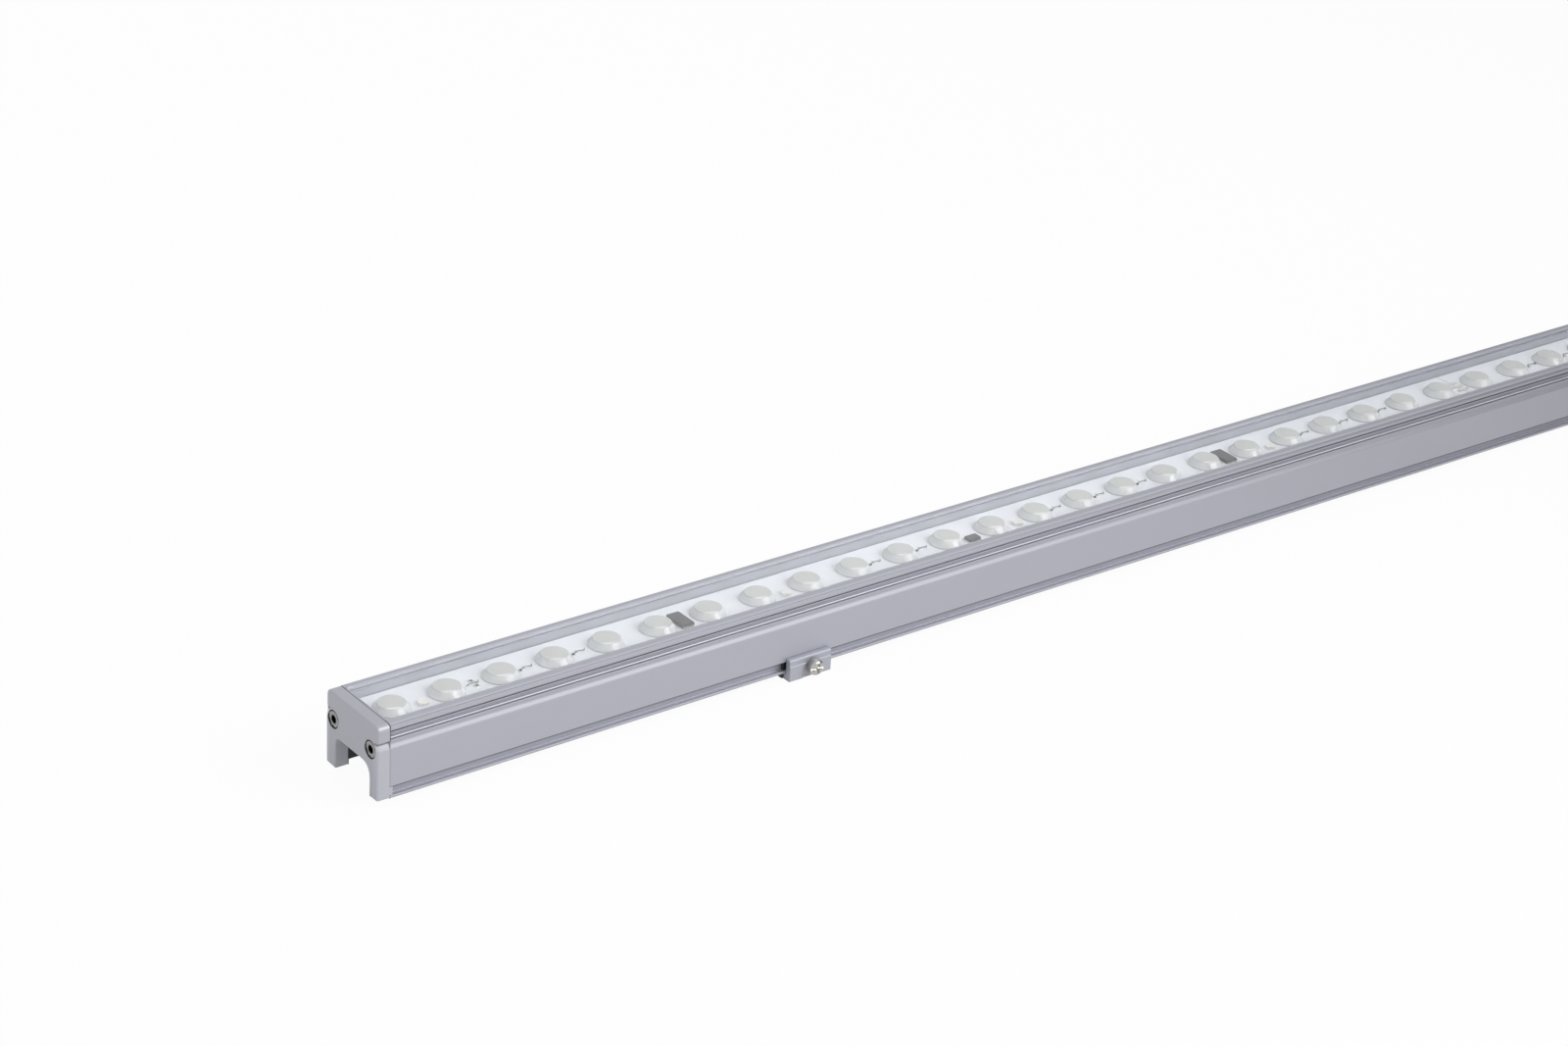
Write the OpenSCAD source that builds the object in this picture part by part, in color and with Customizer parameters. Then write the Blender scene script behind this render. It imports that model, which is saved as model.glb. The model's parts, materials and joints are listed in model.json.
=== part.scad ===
/* [Lamp] */
// Overall length over both end caps
lamp_len = 1000; // [900:10:1200]
// Width of the housing and of the end caps
body_w = 30.8; // [29:0.2:40]
// Height of the housing from its lower edge to its top face
body_h = 26.6; // [26:0.1:34]
// Length of one end cap along the lamp
cap_t = 4.7; // [4:0.05:8]
// Thickness of the rubber gasket behind an end cap
gasket_t = 0.35; // [0.2:0.05:0.8]

/* [Housing section] */
// Thickness of the side walls beside the cable channel
wall_t = 3; // [2.8:0.1:4]
// Height of the cable channel under the lamp, as a share of the housing's height
channel_share = 0.425; // [0.38:0.005:0.44]
// Height of the lip below the clip groove
lip_h = 1; // [0.8:0.1:1.6]
// Height of the clip groove in each side wall
groove_h = 3.35; // [3:0.05:4]
// Depth of the clip groove
groove_depth = 1.8; // [1.2:0.1:2]
// Radius of the top outer corners
top_radius = 1.6; // [0.8:0.1:2]
// Width of the fine line groove in each top corner
corner_line_w = 0.3; // [0.2:0.05:0.5]
// Level where the slanted shoulder starts, as a share of the housing's height
shoulder_z_share = 0.67; // [0.62:0.01:0.68]
// Height of the slanted shoulder, as a share of the housing's height
shoulder_h_share = 0.107; // [0.08:0.001:0.11]
// Depth of the recess above the shoulder
shoulder_depth = 0.9; // [0.5:0.1:1.3]
// Height of one fine rib in the recess above the shoulder
rib_h = 0.5; // [0.3:0.05:0.6]
// Width of the closed wire chamber above the cable channel
chamber_w = 14; // [10:0.5:15]
// Height of the wire chamber, as a share of the metal above the cable channel
chamber_h_share = 0.45; // [0.4:0.01:0.5]
// Thickness of the wire chamber's floor, as a share of the metal above the cable channel
chamber_floor_share = 0.24; // [0.2:0.01:0.28]
// Radius of the screw ports that hold the end cap screws
port_radius = 1.25; // [1:0.05:1.4]
// Distance between the two screw ports
port_spacing = 22.25; // [21:0.05:23]
// Metal left between a screw port and the light chamber
port_roof_t = 0.35; // [0.25:0.05:1]

/* [Glass and boards] */
// Thickness of the cover glass
glass_t = 3; // [2:0.5:4]
// Width of the metal rim beside the glass opening
rim_w = 3; // [2.4:0.1:4]
// Width of the glue line around the glass
seal_w = 0.5; // [0.3:0.1:1]
// Width of the ledge that carries the glass
ledge_w = 1; // [0.6:0.1:1.5]
// Thickness of a circuit board
board_t = 1.2; // [0.8:0.1:1.6]
// Thickness of the heat pad under a circuit board
heat_pad_t = 0.3; // [0.2:0.05:0.6]
// Depth of the light chamber below the glass, down to the board's top face
light_depth = 3.3; // [3.1:0.1:3.6]
// Gap between the two circuit boards at mid length
board_gap = 0.4; // [0.2:0.1:1]

/* [Lenses] */
// Distance from a lamp end to the centre of the first lens
led_margin = 14.7; // [13:0.1:24]
// Outer diameter of a lens
lens_d = 12.8; // [10:0.2:13]
// Height of the straight rim of a lens
lens_rim_h = 0.9; // [0.6:0.1:1.2]
// Overall height of a lens
lens_h = 2.7; // [2:0.1:2.9]
// Height of the low dome on a lens's round shoulder
lens_dome_h = 0.4; // [0.2:0.1:0.6]
// Side of a square light chip
chip_w = 3.5; // [2.8:0.1:4]
// Height of a light chip
chip_h = 0.7; // [0.4:0.1:0.9]

/* [End caps] */
// Width of the arch in an end cap
arch_w = 20.6; // [16:0.2:21]
// Shift of the arch off the middle, towards the near side of the left cap
arch_shift = 0.6; // [0:0.1:1]
// Rise of the arch above the roof of the cable channel
arch_rise = 0.2; // [0:0.1:0.5]
// Larger corner radius of the arch
arch_big_radius = 5; // [3:0.5:6]
// Smaller corner radius of the arch
arch_small_radius = 3; // [2:0.5:4]
// Radius of the top corners of an end cap
cap_top_radius = 2.2; // [1:0.1:2.6]
// Radius of the outer upright edges of an end cap
cap_edge_radius = 0.8; // [0.4:0.1:1.5]
// Depth of the crease that carries the shoulder line round the cap
cap_crease_depth = 0.5; // [0.2:0.1:0.8]
// Diameter of the head of an end cap screw
cap_screw_head_d = 5.5; // [5:0.1:6]
// Height of the head of an end cap screw
cap_screw_head_h = 3; // [2.5:0.1:3.2]
// Length of an end cap screw below its head
cap_screw_len = 10; // [8:1:16]

/* [Cable inlets] */
// Diameter of the cable that an inlet takes
cable_d = 6; // [5:0.1:6.4]
// Length of an inlet block
inlet_len = 22; // [18:1:30]
// Width of an inlet block
inlet_w = 18; // [16:0.5:20]
// Height of an inlet block's underside above the lamp's lower edge
inlet_low_z = 1.4; // [1.3:0.1:1.8]
// Thickness of the seal between an inlet block and the housing
inlet_seal_t = 0.8; // [0.5:0.1:1]
// Distance across the flats of the gland nut
gland_nut_af = 9; // [8.8:0.1:9.4]
// Length of the gland nut
gland_nut_len = 7; // [5:0.5:10]

/* [Mounting clips] */
// Distance from a lamp end to the middle of its clip
clip_inset = 169.5; // [60:0.5:400]
// Thickness of the clip's base plate
base_t = 2.2; // [1.5:0.1:3]
// Length of the clip's base plate along the lamp
base_len = 18.2; // [16:0.2:30]
// Length of the clip's jaw along the lamp
jaw_len = 17.6; // [15:0.2:30]
// Thickness of the jaw's upper part
jaw_t = 2; // [1.5:0.1:3]
// Distance that the jaw's lower part stands proud
jaw_step = 0.3; // [0.2:0.05:1]
// Height of the jaw's top edge above the lamp's lower edge
jaw_top_z = 5.7; // [5.4:0.1:9]
// Clearance between the lamp and the clip that slides on it
slide_gap = 0.15; // [0.1:0.05:0.3]
// Diameter of the clamp screw's thread
clamp_screw_d = 3; // [2:0.1:3]
// Diameter of the clamp screw's head
clamp_head_d = 5.7; // [5:0.1:6]
// Height of the clamp screw's head
clamp_head_h = 2.3; // [1.8:0.1:3]
// Gap under the clamp screw's head when it is tight
clamp_head_gap = 1.4; // [0.8:0.1:2]
// Diameter of the wall screw holes in the base plate
wall_hole_d = 4.5; // [3:0.1:6]
// Distance between the two wall screw holes of one clip
wall_hole_spacing = 14; // [11:0.5:16]

/* [Hidden] */

$fn = 48;
// Overrun of every cut past the face that it opens
cut = 0.5;
// Steps in a rounded corner of an outline
corner_steps = 6;

// Rows of lenses, the lenses in each, and all of them
row_count = 8;
lenses_per_row = 6;
led_count = row_count * lenses_per_row;
led_pitch = (lamp_len - 2 * led_margin) / (led_count - 1);

// Gaps between lenses, counted from the lamp's end, and what lies in them
lead_number = 2;
board_screw_numbers = [1, 8, 13, 19];
driver_numbers = [6, 18];
regulator_number = 12;
resistor_numbers = [3, 4, 10, 11, 14, 15, 16, 20, 21, 22];

// Lamp's levels above its lower edge, and the lift of that edge above the wall
lamp_lift = base_t + slide_gap;
half_w = body_w / 2;
groove_top_z = lip_h + groove_h;
shoulder_z = body_h * shoulder_z_share;
shoulder_h = body_h * shoulder_h_share;
shoulder_top_z = shoulder_z + shoulder_h;
glass_low_z = body_h - glass_t;
board_top_z = glass_low_z - light_depth;
pad_low_z = board_top_z - board_t - heat_pad_t;
port_z = pad_low_z - port_roof_t - port_radius;
channel_h = body_h * channel_share;
core_h = pad_low_z - channel_h;
chamber_floor_t = core_h * chamber_floor_share;
chamber_h = core_h * chamber_h_share;
chamber_z = channel_h + chamber_floor_t;
arch_h = channel_h + arch_rise;
recess_half_w = half_w - rim_w;
light_half_w = recess_half_w - ledge_w;
channel_half_w = half_w - wall_t;
housing_len = lamp_len - 2 * (cap_t + gasket_t);

// Bend in the slanted shoulder, as shares of its depth and height
bend_depth_share = 0.33;
bend_h_share = 0.67;

// Ribs in the recess above the shoulder: how far their tips stay inside the side face
rib_top_z = body_h - top_radius;
rib_tip_share = 0.25;
rib_fine_share = 0.6;
rib_count = 3;
rib_gap = (rib_top_z - shoulder_top_z) / rib_count - rib_h;

// Circuit boards lie between the light chamber's walls with a little play
board_side_gap = 0.3;
board_end_gap = 0.4;
chip_play = 0.3;
lead_hole_radius = 0.8;
lead_radius = 0.6;
lead_spacing = 3.6;
solder_radius = 1.2;
solder_h = 0.5;
lead_inset = gap_inset(lead_number);

// Board screws with a pan head
board_screw_y = -2.6;
board_screw_radius = 1;
board_screw_play = 0.1;
board_screw_head_radius = 1.9;
board_screw_head_h = 1.1;

// Electronic parts between the lenses
part_gap = 0.35;
driver_len = 5;
driver_w = 10.5;
driver_h = 1.3;
regulator_len = 5;
regulator_w = 4.2;
regulator_h = 1.1;
regulator_y = -3.4;
resistor_len = 3.2;
resistor_w = 1.6;
resistor_h = 0.55;
resistor_y = 0.7;
link_len = 5;
link_w = 1.2;
link_h = 0.5;
link_spacing = 3;

// Cap screws: the head sits a little inside its counterbore
cap_head_gap = 0.35;
cap_head_sink = 0.3;
cap_shank_gap = 0.15;
cap_shank_radius = 1.5;
cap_core_gap = 0.05;
cap_socket_af = 2.5;
cap_socket_depth = 1.8;
cap_tab_len = 0.9;
cap_tab_gap = 0.15;
crease_h = 0.4;

// Inlet: block, bore, threaded nose, seal and screws
inlet_h = channel_h - inlet_seal_t - inlet_low_z;
inlet_bore_z = channel_h / 2;
inlet_wire_x = 8;
inlet_back_x = lead_inset + inlet_wire_x;
inlet_front_x = inlet_back_x - inlet_len;
cable_gap = 0.2;
nose_radius = 3.9;
nut_gap = 0.1;
nut_back_gap = 1;
ring_t = 1;
nose_len = gland_nut_len - 2 * ring_t + nut_back_gap;
nose_front_x = inlet_front_x - nose_len;
inlet_bore_len = 14;
wire_hole_radius = 2.6;
inlet_screw_inset = 3.4;
inlet_screw_edge = 3.1;
inlet_screw_y = inlet_w / 2 - inlet_screw_edge;
inlet_screw_places = [inlet_front_x + inlet_screw_inset, inlet_back_x - inlet_screw_inset];
inlet_screw_radius = 1;
inlet_screw_head_radius = 1.9;
inlet_screw_head_h = 1.2;
inlet_screw_play = 0.1;

// Clip: jaw, hook, tenons and clamp screw
jaw_shift = 0.4;
jaw_foot = 1.25;
jaw_step_z = 3.3;
jaw_lip_radius = 0.7;
notch_radius = 3.9;
notch_z = 0.3;
hook_t = 1.8;
hook_rise = 1.25;
hook_play = 0.3;
tenon_len = 3;
tenon_depth = 0.8;
tenon_h = 1;
tenon_margin = 7;
tenon_spacing = min(base_len, jaw_len) - tenon_margin;
clamp_shift = 1.2;
clamp_tip_radius = 0.6;
clamp_tip_gap = 0.15;
clamp_z = lip_h + clamp_tip_radius + clamp_tip_gap;
clamp_play = 0.05;
clamp_pad_share = 0.5;
clamp_pad_t = groove_depth * clamp_pad_share;
clamp_pad_play = 0.1;
clamp_pad_inset = 0.3;
clamp_slot_w = 0.8;
clamp_slot_depth = 0.9;
clamp_cross_share = 0.62;
clamp_pan_share = 0.6;

aluminium = [0.70, 0.71, 0.74];
cap_grey = [0.68, 0.69, 0.72];
dark_rubber = [0.22, 0.22, 0.24];
black = [0.12, 0.12, 0.13];
steel = [0.80, 0.79, 0.75];
board_white = [0.93, 0.93, 0.95];
lens_clear = [0.86, 0.87, 0.87];

// Distance from the lamp's end to a lens, and to the middle of the gap after a lens
function lens_inset(number) = led_margin + led_pitch * (number - 1);
function gap_inset(gap) = (lens_inset(gap) + lens_inset(gap + 1)) / 2;

// Points of an arc about a centre, both angles in degrees
function arc(centre, radius, from_angle, to_angle) = [
    for (i = [0 : corner_steps])
        let (angle = from_angle + (to_angle - from_angle) * i / corner_steps)
        [centre[0] + radius * cos(angle), centre[1] + radius * sin(angle)]];

// The other half of an outline that is mirrored about the lamp's middle plane
function mirrored(points) = [
    for (i = [len(points) - 1 : -1 : 0]) [-points[i][0], points[i][1]]];

// Extrudes a cross section, drawn as width and height, along the lamp
module along(from_x, to_x) {
    translate([from_x, 0, lamp_lift])
        rotate([90, 0, 90])
            linear_extrude(height = to_x - from_x) children();
}

// A box by its low and high corners, with heights above the lamp's lower edge
module block(low, high) {
    translate([low[0], low[1], low[2] + lamp_lift])
        cube([high[0] - low[0], high[1] - low[1], high[2] - low[2]]);
}

// A round rod along the lamp
module rod_along(from_x, to_x, y, z, radius) {
    translate([from_x, y, z + lamp_lift])
        rotate([0, 90, 0]) cylinder(h = to_x - from_x, r = radius);
}

// An upright round rod
module rod_up(x, y, from_z, to_z, radius) {
    translate([x, y, from_z + lamp_lift]) cylinder(h = to_z - from_z, r = radius);
}

// A round rod across the lamp, from one side position towards the far side
module rod_across(x, from_y, to_y, z, radius) {
    translate([x, from_y, z + lamp_lift])
        rotate([-90, 0, 0]) cylinder(h = to_y - from_y, r = radius);
}

// Places what is drawn from the left end at the left end, or turned round at the right end
module at_end(right) {
    rotate([0, 0, right ? 180 : 0])
        translate([-lamp_len / 2, 0, 0]) children();
}

// Places a clip: both jaws are on the same side of the lamp
module at_clip(right) {
    mirror([right ? 1 : 0, 0, 0])
        translate([clip_inset - lamp_len / 2, 0, 0]) children();
}

// Side relief of the housing, one half, from the shoulder up to the top rim
function relief_half() = let (
    deep = half_w - shoulder_depth,
    tip = half_w - shoulder_depth * rib_tip_share,
    fine = half_w - shoulder_depth * rib_fine_share,
    a = shoulder_top_z + rib_gap,
    b = a + rib_h + rib_gap,
    c = b + rib_h + rib_gap)
    [[half_w, shoulder_z],
     [half_w - shoulder_depth * bend_depth_share, shoulder_z + shoulder_h * bend_h_share],
     [deep, shoulder_top_z],
     [deep, a], [tip, a], [tip, a + rib_h],
     [deep, a + rib_h], [deep, b], [fine, b], [fine, b + rib_h],
     [deep, b + rib_h], [deep, c], [half_w, c]];

// Rounded top corner with a fine line cut in its middle
function top_corner() = let (
    centre = [half_w - top_radius, body_h - top_radius],
    line_angle = asin(corner_line_w / 2 / top_radius))
    concat(
        arc(centre, top_radius, 0, 45 - line_angle),
        arc(centre, top_radius - corner_line_w, 45 - line_angle, 45 + line_angle),
        arc(centre, top_radius, 45 + line_angle, 90));

module housing_outline() {
    half = concat(
        [[channel_half_w, 0], [half_w, 0], [half_w, lip_h],
         [half_w - groove_depth, lip_h], [half_w - groove_depth, groove_top_z],
         [half_w, groove_top_z]],
        relief_half(), top_corner(),
        [[recess_half_w, body_h], [recess_half_w, glass_low_z],
         [light_half_w, glass_low_z], [light_half_w, pad_low_z]]);
    roof = [[channel_half_w, channel_h]];
    polygon(concat(roof, half, mirrored(half), mirrored(roof)));
}

module housing() {
    color(aluminium) difference() {
        along(-housing_len / 2, housing_len / 2) housing_outline();
        block([-housing_len / 2 - cut, -chamber_w / 2, chamber_z],
              [housing_len / 2 + cut, chamber_w / 2, chamber_z + chamber_h]);
        for (side = [-1, 1])
            rod_along(-housing_len / 2 - cut, housing_len / 2 + cut,
                      side * port_spacing / 2, port_z, port_radius);
        for (right = [false, true]) at_end(right) {
            rod_up(lead_inset, 0, channel_h - cut, chamber_z + cut, wire_hole_radius);
            for (side = [-1, 1]) {
                rod_up(lead_inset, side * lead_spacing / 2, chamber_z + chamber_h - cut,
                       pad_low_z + cut, lead_hole_radius);
                for (x = inlet_screw_places)
                    rod_up(x, side * inlet_screw_y, channel_h - cut,
                           channel_h + chamber_floor_t / 2, inlet_screw_radius);
            }
            board_screw_holes(chamber_z + chamber_h, pad_low_z, board_screw_radius);
        }
    }
}

module cover_glass() {
    glass_half_w = recess_half_w - seal_w;
    color([0.82, 0.86, 0.88, 0.35])
        block([-housing_len / 2 + seal_w, -glass_half_w, glass_low_z],
              [housing_len / 2 - seal_w, glass_half_w, body_h]);
}

module glass_seal() {
    glass_half_w = recess_half_w - seal_w;
    color([0.72, 0.73, 0.75]) difference() {
        block([-housing_len / 2, -recess_half_w, glass_low_z],
              [housing_len / 2, recess_half_w, body_h]);
        block([-housing_len / 2 + seal_w, -glass_half_w, glass_low_z - cut],
              [housing_len / 2 - seal_w, glass_half_w, body_h + cut]);
    }
}

// Outline of an end cap with its arch, from below; the larger arch corner faces the near side
module cap_outline() {
    near_y = -arch_w / 2 - arch_shift;
    far_y = arch_w / 2 - arch_shift;
    centre = [half_w - cap_top_radius, body_h - cap_top_radius];
    outer = concat([[half_w, 0]], arc(centre, cap_top_radius, 0, 90));
    arch = concat(
        [[near_y, 0]],
        arc([near_y + arch_big_radius, arch_h - arch_big_radius], arch_big_radius, 180, 90),
        arc([far_y - arch_small_radius, arch_h - arch_small_radius], arch_small_radius, 90, 0),
        [[far_y, 0]]);
    polygon(concat(arch, outer, mirrored(outer)));
}

// Plan of an end cap with rounded upright edges
module cap_plan() {
    r = cap_edge_radius;
    translate([0, 0, lamp_lift - cut])
        linear_extrude(height = body_h + 2 * cut)
            polygon(concat(
                [[cap_t, -half_w]],
                [[cap_t, half_w]],
                arc([r, half_w - r], r, 90, 180),
                arc([r, -half_w + r], r, 180, 270)));
}

module cap_crease() {
    for (turned = [0, 1]) mirror([0, turned, 0])
        along(cap_edge_radius, cap_t + cut)
            polygon([[half_w + cut, shoulder_z], [half_w, shoulder_z],
                     [half_w - cap_crease_depth, shoulder_top_z],
                     [half_w, shoulder_top_z + crease_h],
                     [half_w + cut, shoulder_top_z + crease_h]]);
}

module end_cap() {
    bore_radius = cap_screw_head_d / 2 + cap_head_gap;
    color(cap_grey) difference() {
        union() {
            intersection() {
                along(0, cap_t) cap_outline();
                cap_plan();
            }
            for (side = [-1, 1]) cap_tab(side);
        }
        cap_crease();
        for (side = [-1, 1]) {
            rod_along(-cut, cap_head_sink + cap_screw_head_h, side * port_spacing / 2, port_z,
                      bore_radius);
            rod_along(-cut, cap_t + cut, side * port_spacing / 2, port_z,
                      cap_shank_radius + cap_shank_gap);
        }
    }
}

// Small tab of the cap that enters the clip groove past the gasket
module cap_tab(side) {
    inner = half_w - groove_depth + cap_tab_gap;
    low = min(side * inner, side * half_w);
    high = max(side * inner, side * half_w);
    block([cap_t - cut, low, lip_h + cap_tab_gap],
          [cap_t + gasket_t + cap_tab_len, high, groove_top_z - cap_tab_gap]);
}

module end_cap_left() { at_end(false) end_cap(); }
module end_cap_right() { at_end(true) end_cap(); }

// Gasket with the outline of the housing's end, open at the screws, arch and groove tabs
module cap_gasket() {
    color(dark_rubber) difference() {
        along(cap_t, cap_t + gasket_t) cap_outline();
        for (side = [-1, 1]) {
            rod_along(cap_t - cut, cap_t + gasket_t + cut, side * port_spacing / 2, port_z,
                      cap_shank_radius + cap_shank_gap);
            mirror([0, side > 0 ? 0 : 1, 0])
                block([cap_t - cut, half_w - groove_depth, lip_h],
                      [cap_t + gasket_t + cut, half_w + cut, groove_top_z]);
        }
    }
}
module cap_gasket_left() { at_end(false) cap_gasket(); }
module cap_gasket_right() { at_end(true) cap_gasket(); }

// Socket head screws of one end cap
module cap_screws() {
    head_end = cap_head_sink + cap_screw_head_h;
    color(steel) for (side = [-1, 1]) difference() {
        union() {
            rod_along(cap_head_sink, head_end, side * port_spacing / 2, port_z,
                      cap_screw_head_d / 2);
            rod_along(head_end - cut, cap_t + gasket_t, side * port_spacing / 2, port_z,
                      cap_shank_radius);
            rod_along(cap_t, head_end + cap_screw_len, side * port_spacing / 2, port_z,
                      port_radius - cap_core_gap);
        }
        translate([cap_head_sink - cut, side * port_spacing / 2, port_z + lamp_lift])
            rotate([0, 90, 0])
                cylinder(h = cap_socket_depth + cut, r = cap_socket_af / sqrt(3), $fn = 6);
    }
}
module cap_screws_left() { at_end(false) cap_screws(); }
module cap_screws_right() { at_end(true) cap_screws(); }

// Flat strip in the light chamber from the left end cap to mid length
module strip(low_z, high_z) {
    half = light_half_w - board_side_gap;
    block([cap_t + gasket_t + board_end_gap, -half, low_z],
          [(lamp_len - board_gap) / 2, half, high_z]);
}
module lead_holes(low_z, high_z) {
    for (side = [-1, 1])
        rod_up(lead_inset, side * lead_spacing / 2, low_z - cut, high_z + cut, lead_hole_radius);
}
module board_screw_holes(low_z, high_z, radius) {
    for (gap = board_screw_numbers)
        rod_up(gap_inset(gap), board_screw_y, low_z - cut, high_z + cut, radius);
}
module circuit_board() {
    low = board_top_z - board_t;
    color(board_white) difference() {
        strip(low, board_top_z);
        lead_holes(low, board_top_z);
        board_screw_holes(low, board_top_z, board_screw_radius + board_screw_play);
    }
}
module heat_pad() {
    high = pad_low_z + heat_pad_t;
    color([0.55, 0.58, 0.62]) difference() {
        strip(pad_low_z, high);
        lead_holes(pad_low_z, high);
        board_screw_holes(pad_low_z, high, board_screw_radius + board_screw_play);
    }
}
module board_screws() {
    color(steel) for (gap = board_screw_numbers) {
        rod_up(gap_inset(gap), board_screw_y, chamber_z + chamber_h, board_top_z,
               board_screw_radius - board_screw_play / 2);
        rod_up(gap_inset(gap), board_screw_y, board_top_z, board_top_z + board_screw_head_h,
               board_screw_head_radius);
    }
}
module circuit_board_left() { at_end(false) circuit_board(); }
module circuit_board_right() { at_end(true) circuit_board(); }
module heat_pad_left() { at_end(false) heat_pad(); }
module heat_pad_right() { at_end(true) heat_pad(); }
module board_screws_left() { at_end(false) board_screws(); }
module board_screws_right() { at_end(true) board_screws(); }

module light_chips() {
    color([0.95, 0.90, 0.60]) for (number = [1 : led_count / 2])
        board_part(lens_inset(number), 0, [chip_w, chip_w, chip_h]);
}
module light_chips_left() { at_end(false) light_chips(); }
module light_chips_right() { at_end(true) light_chips(); }

// One lens: straight rim, round shoulder, low dome, and a pocket over its light chip
module lens(x) {
    r = lens_d / 2;
    shoulder = lens_h - lens_rim_h - lens_dome_h;
    dome_r = r - shoulder;
    dome_radius = (dome_r * dome_r + lens_dome_h * lens_dome_h) / 2 / lens_dome_h;
    dome_angle = asin(dome_r / dome_radius);
    pocket_r = chip_w * sqrt(2) / 2 + chip_play;
    pocket_h = chip_h + chip_play;
    translate([x, 0, board_top_z + lamp_lift]) rotate_extrude()
        polygon(concat(
            [[pocket_r, 0], [r, 0]],
            arc([dome_r, lens_rim_h], shoulder, 0, 90),
            arc([0, lens_h - dome_radius], dome_radius, 90 - dome_angle, 90),
            [[0, pocket_h], [pocket_r, pocket_h]]));
}

// A row of lenses, numbered from the left end, which starts afresh from the right end
module lens_row(row) {
    right = row > row_count / 2;
    last = (right ? row_count + 1 - row : row) * lenses_per_row;
    color(lens_clear) at_end(right)
        for (number = [last - lenses_per_row + 1 : last]) lens(lens_inset(number));
}
module lens_row_1() { lens_row(1); }
module lens_row_2() { lens_row(2); }
module lens_row_3() { lens_row(3); }
module lens_row_4() { lens_row(4); }
module lens_row_5() { lens_row(5); }
module lens_row_6() { lens_row(6); }
module lens_row_7() { lens_row(7); }
module lens_row_8() { lens_row(8); }

// A flat part on the board by its middle, size and height
module board_part(x, y, size) {
    block([x - size[0] / 2, y - size[1] / 2, board_top_z],
          [x + size[0] / 2, y + size[1] / 2, board_top_z + size[2]]);
}

// Middle of a part of some length that lies close after a lens
function after_lens(number, length) = lens_inset(number) + lens_d / 2 + part_gap + length / 2;

module driver_chips() {
    color(black) for (gap = driver_numbers)
        board_part(after_lens(gap, driver_len), 0, [driver_len, driver_w, driver_h]);
}
module driver_chips_left() { at_end(false) driver_chips(); }
module driver_chips_right() { at_end(true) driver_chips(); }
module regulator() {
    color([0.35, 0.35, 0.37])
        board_part(after_lens(regulator_number, regulator_len), regulator_y,
                   [regulator_len, regulator_w, regulator_h]);
}
module regulator_left() { at_end(false) regulator(); }
module regulator_right() { at_end(true) regulator(); }
module resistors() {
    color([0.25, 0.25, 0.27]) for (gap = resistor_numbers)
        board_part(gap_inset(gap), resistor_y, [resistor_len, resistor_w, resistor_h]);
}
module resistors_left() { at_end(false) resistors(); }
module resistors_right() { at_end(true) resistors(); }
module board_link() {
    color([0.85, 0.80, 0.70]) for (i = [-1 : 1])
        board_part(0, i * link_spacing, [link_len, link_w, link_h]);
}

// Two leads from the inlet block up to the board, each with its solder joint
module power_leads() {
    color(dark_rubber) for (side = [-1, 1]) {
        y = side * lead_spacing / 2;
        rod_up(lead_inset, y, inlet_bore_z, board_top_z, lead_radius);
        rod_up(lead_inset, y, board_top_z, board_top_z + solder_h, solder_radius);
    }
}
module power_leads_left() { at_end(false) power_leads(); }
module power_leads_right() { at_end(true) power_leads(); }

module inlet_screw_holes(low_z, high_z) {
    for (x = inlet_screw_places)
        for (side = [-1, 1])
            rod_up(x, side * inlet_screw_y, low_z - cut, high_z + cut,
                   inlet_screw_radius + inlet_screw_play);
}

// Round hole or rod about the inlet's axis
module inlet_rod(from_x, to_x, radius) { rod_along(from_x, to_x, 0, inlet_bore_z, radius); }

module cable_inlet() {
    high = inlet_low_z + inlet_h;
    color(black) difference() {
        union() {
            block([inlet_front_x, -inlet_w / 2, inlet_low_z], [inlet_back_x, inlet_w / 2, high]);
            inlet_rod(nose_front_x, inlet_front_x + cut, nose_radius);
        }
        inlet_rod(nose_front_x - cut, nose_front_x + inlet_bore_len, cable_d / 2 + cable_gap);
        inlet_rod(inlet_front_x, lead_inset, wire_hole_radius);
        rod_up(lead_inset, 0, inlet_bore_z - wire_hole_radius, high + cut, wire_hole_radius);
        inlet_screw_holes(inlet_low_z, high);
    }
}
module inlet_seal() {
    low = channel_h - inlet_seal_t;
    color(dark_rubber) difference() {
        block([inlet_front_x, -inlet_w / 2, low], [inlet_back_x, inlet_w / 2, channel_h]);
        rod_up(lead_inset, 0, low - cut, channel_h + cut, wire_hole_radius);
        inlet_screw_holes(low, channel_h);
    }
}

// Hexagon nut on the inlet's nose, with a rubber ring that grips the cable
module gland_nut() {
    ring_front_x = nose_front_x - ring_t;
    nut_front_x = ring_front_x - ring_t;
    color(black) difference() {
        translate([nut_front_x, 0, inlet_bore_z + lamp_lift])
            rotate([0, 90, 0]) rotate([0, 0, 30])
                cylinder(h = gland_nut_len, r = gland_nut_af / sqrt(3), $fn = 6);
        inlet_rod(ring_front_x, nut_front_x + gland_nut_len + cut, nose_radius + nut_gap);
        inlet_rod(nut_front_x - cut, ring_front_x + cut, cable_d / 2 + cable_gap);
    }
}
module gland_ring() {
    color(dark_rubber) difference() {
        inlet_rod(nose_front_x - ring_t, nose_front_x, nose_radius);
        inlet_rod(nose_front_x - ring_t - cut, nose_front_x + cut, cable_d / 2 + cable_gap);
    }
}
module inlet_screws() {
    color(steel) for (x = inlet_screw_places)
        for (side = [-1, 1]) {
            rod_up(x, side * inlet_screw_y, inlet_low_z, channel_h + chamber_floor_t / 2,
                   inlet_screw_radius - inlet_screw_play / 2);
            rod_up(x, side * inlet_screw_y, inlet_low_z - inlet_screw_head_h, inlet_low_z,
                   inlet_screw_head_radius);
        }
}
module cable_inlet_left() { at_end(false) cable_inlet(); }
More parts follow.
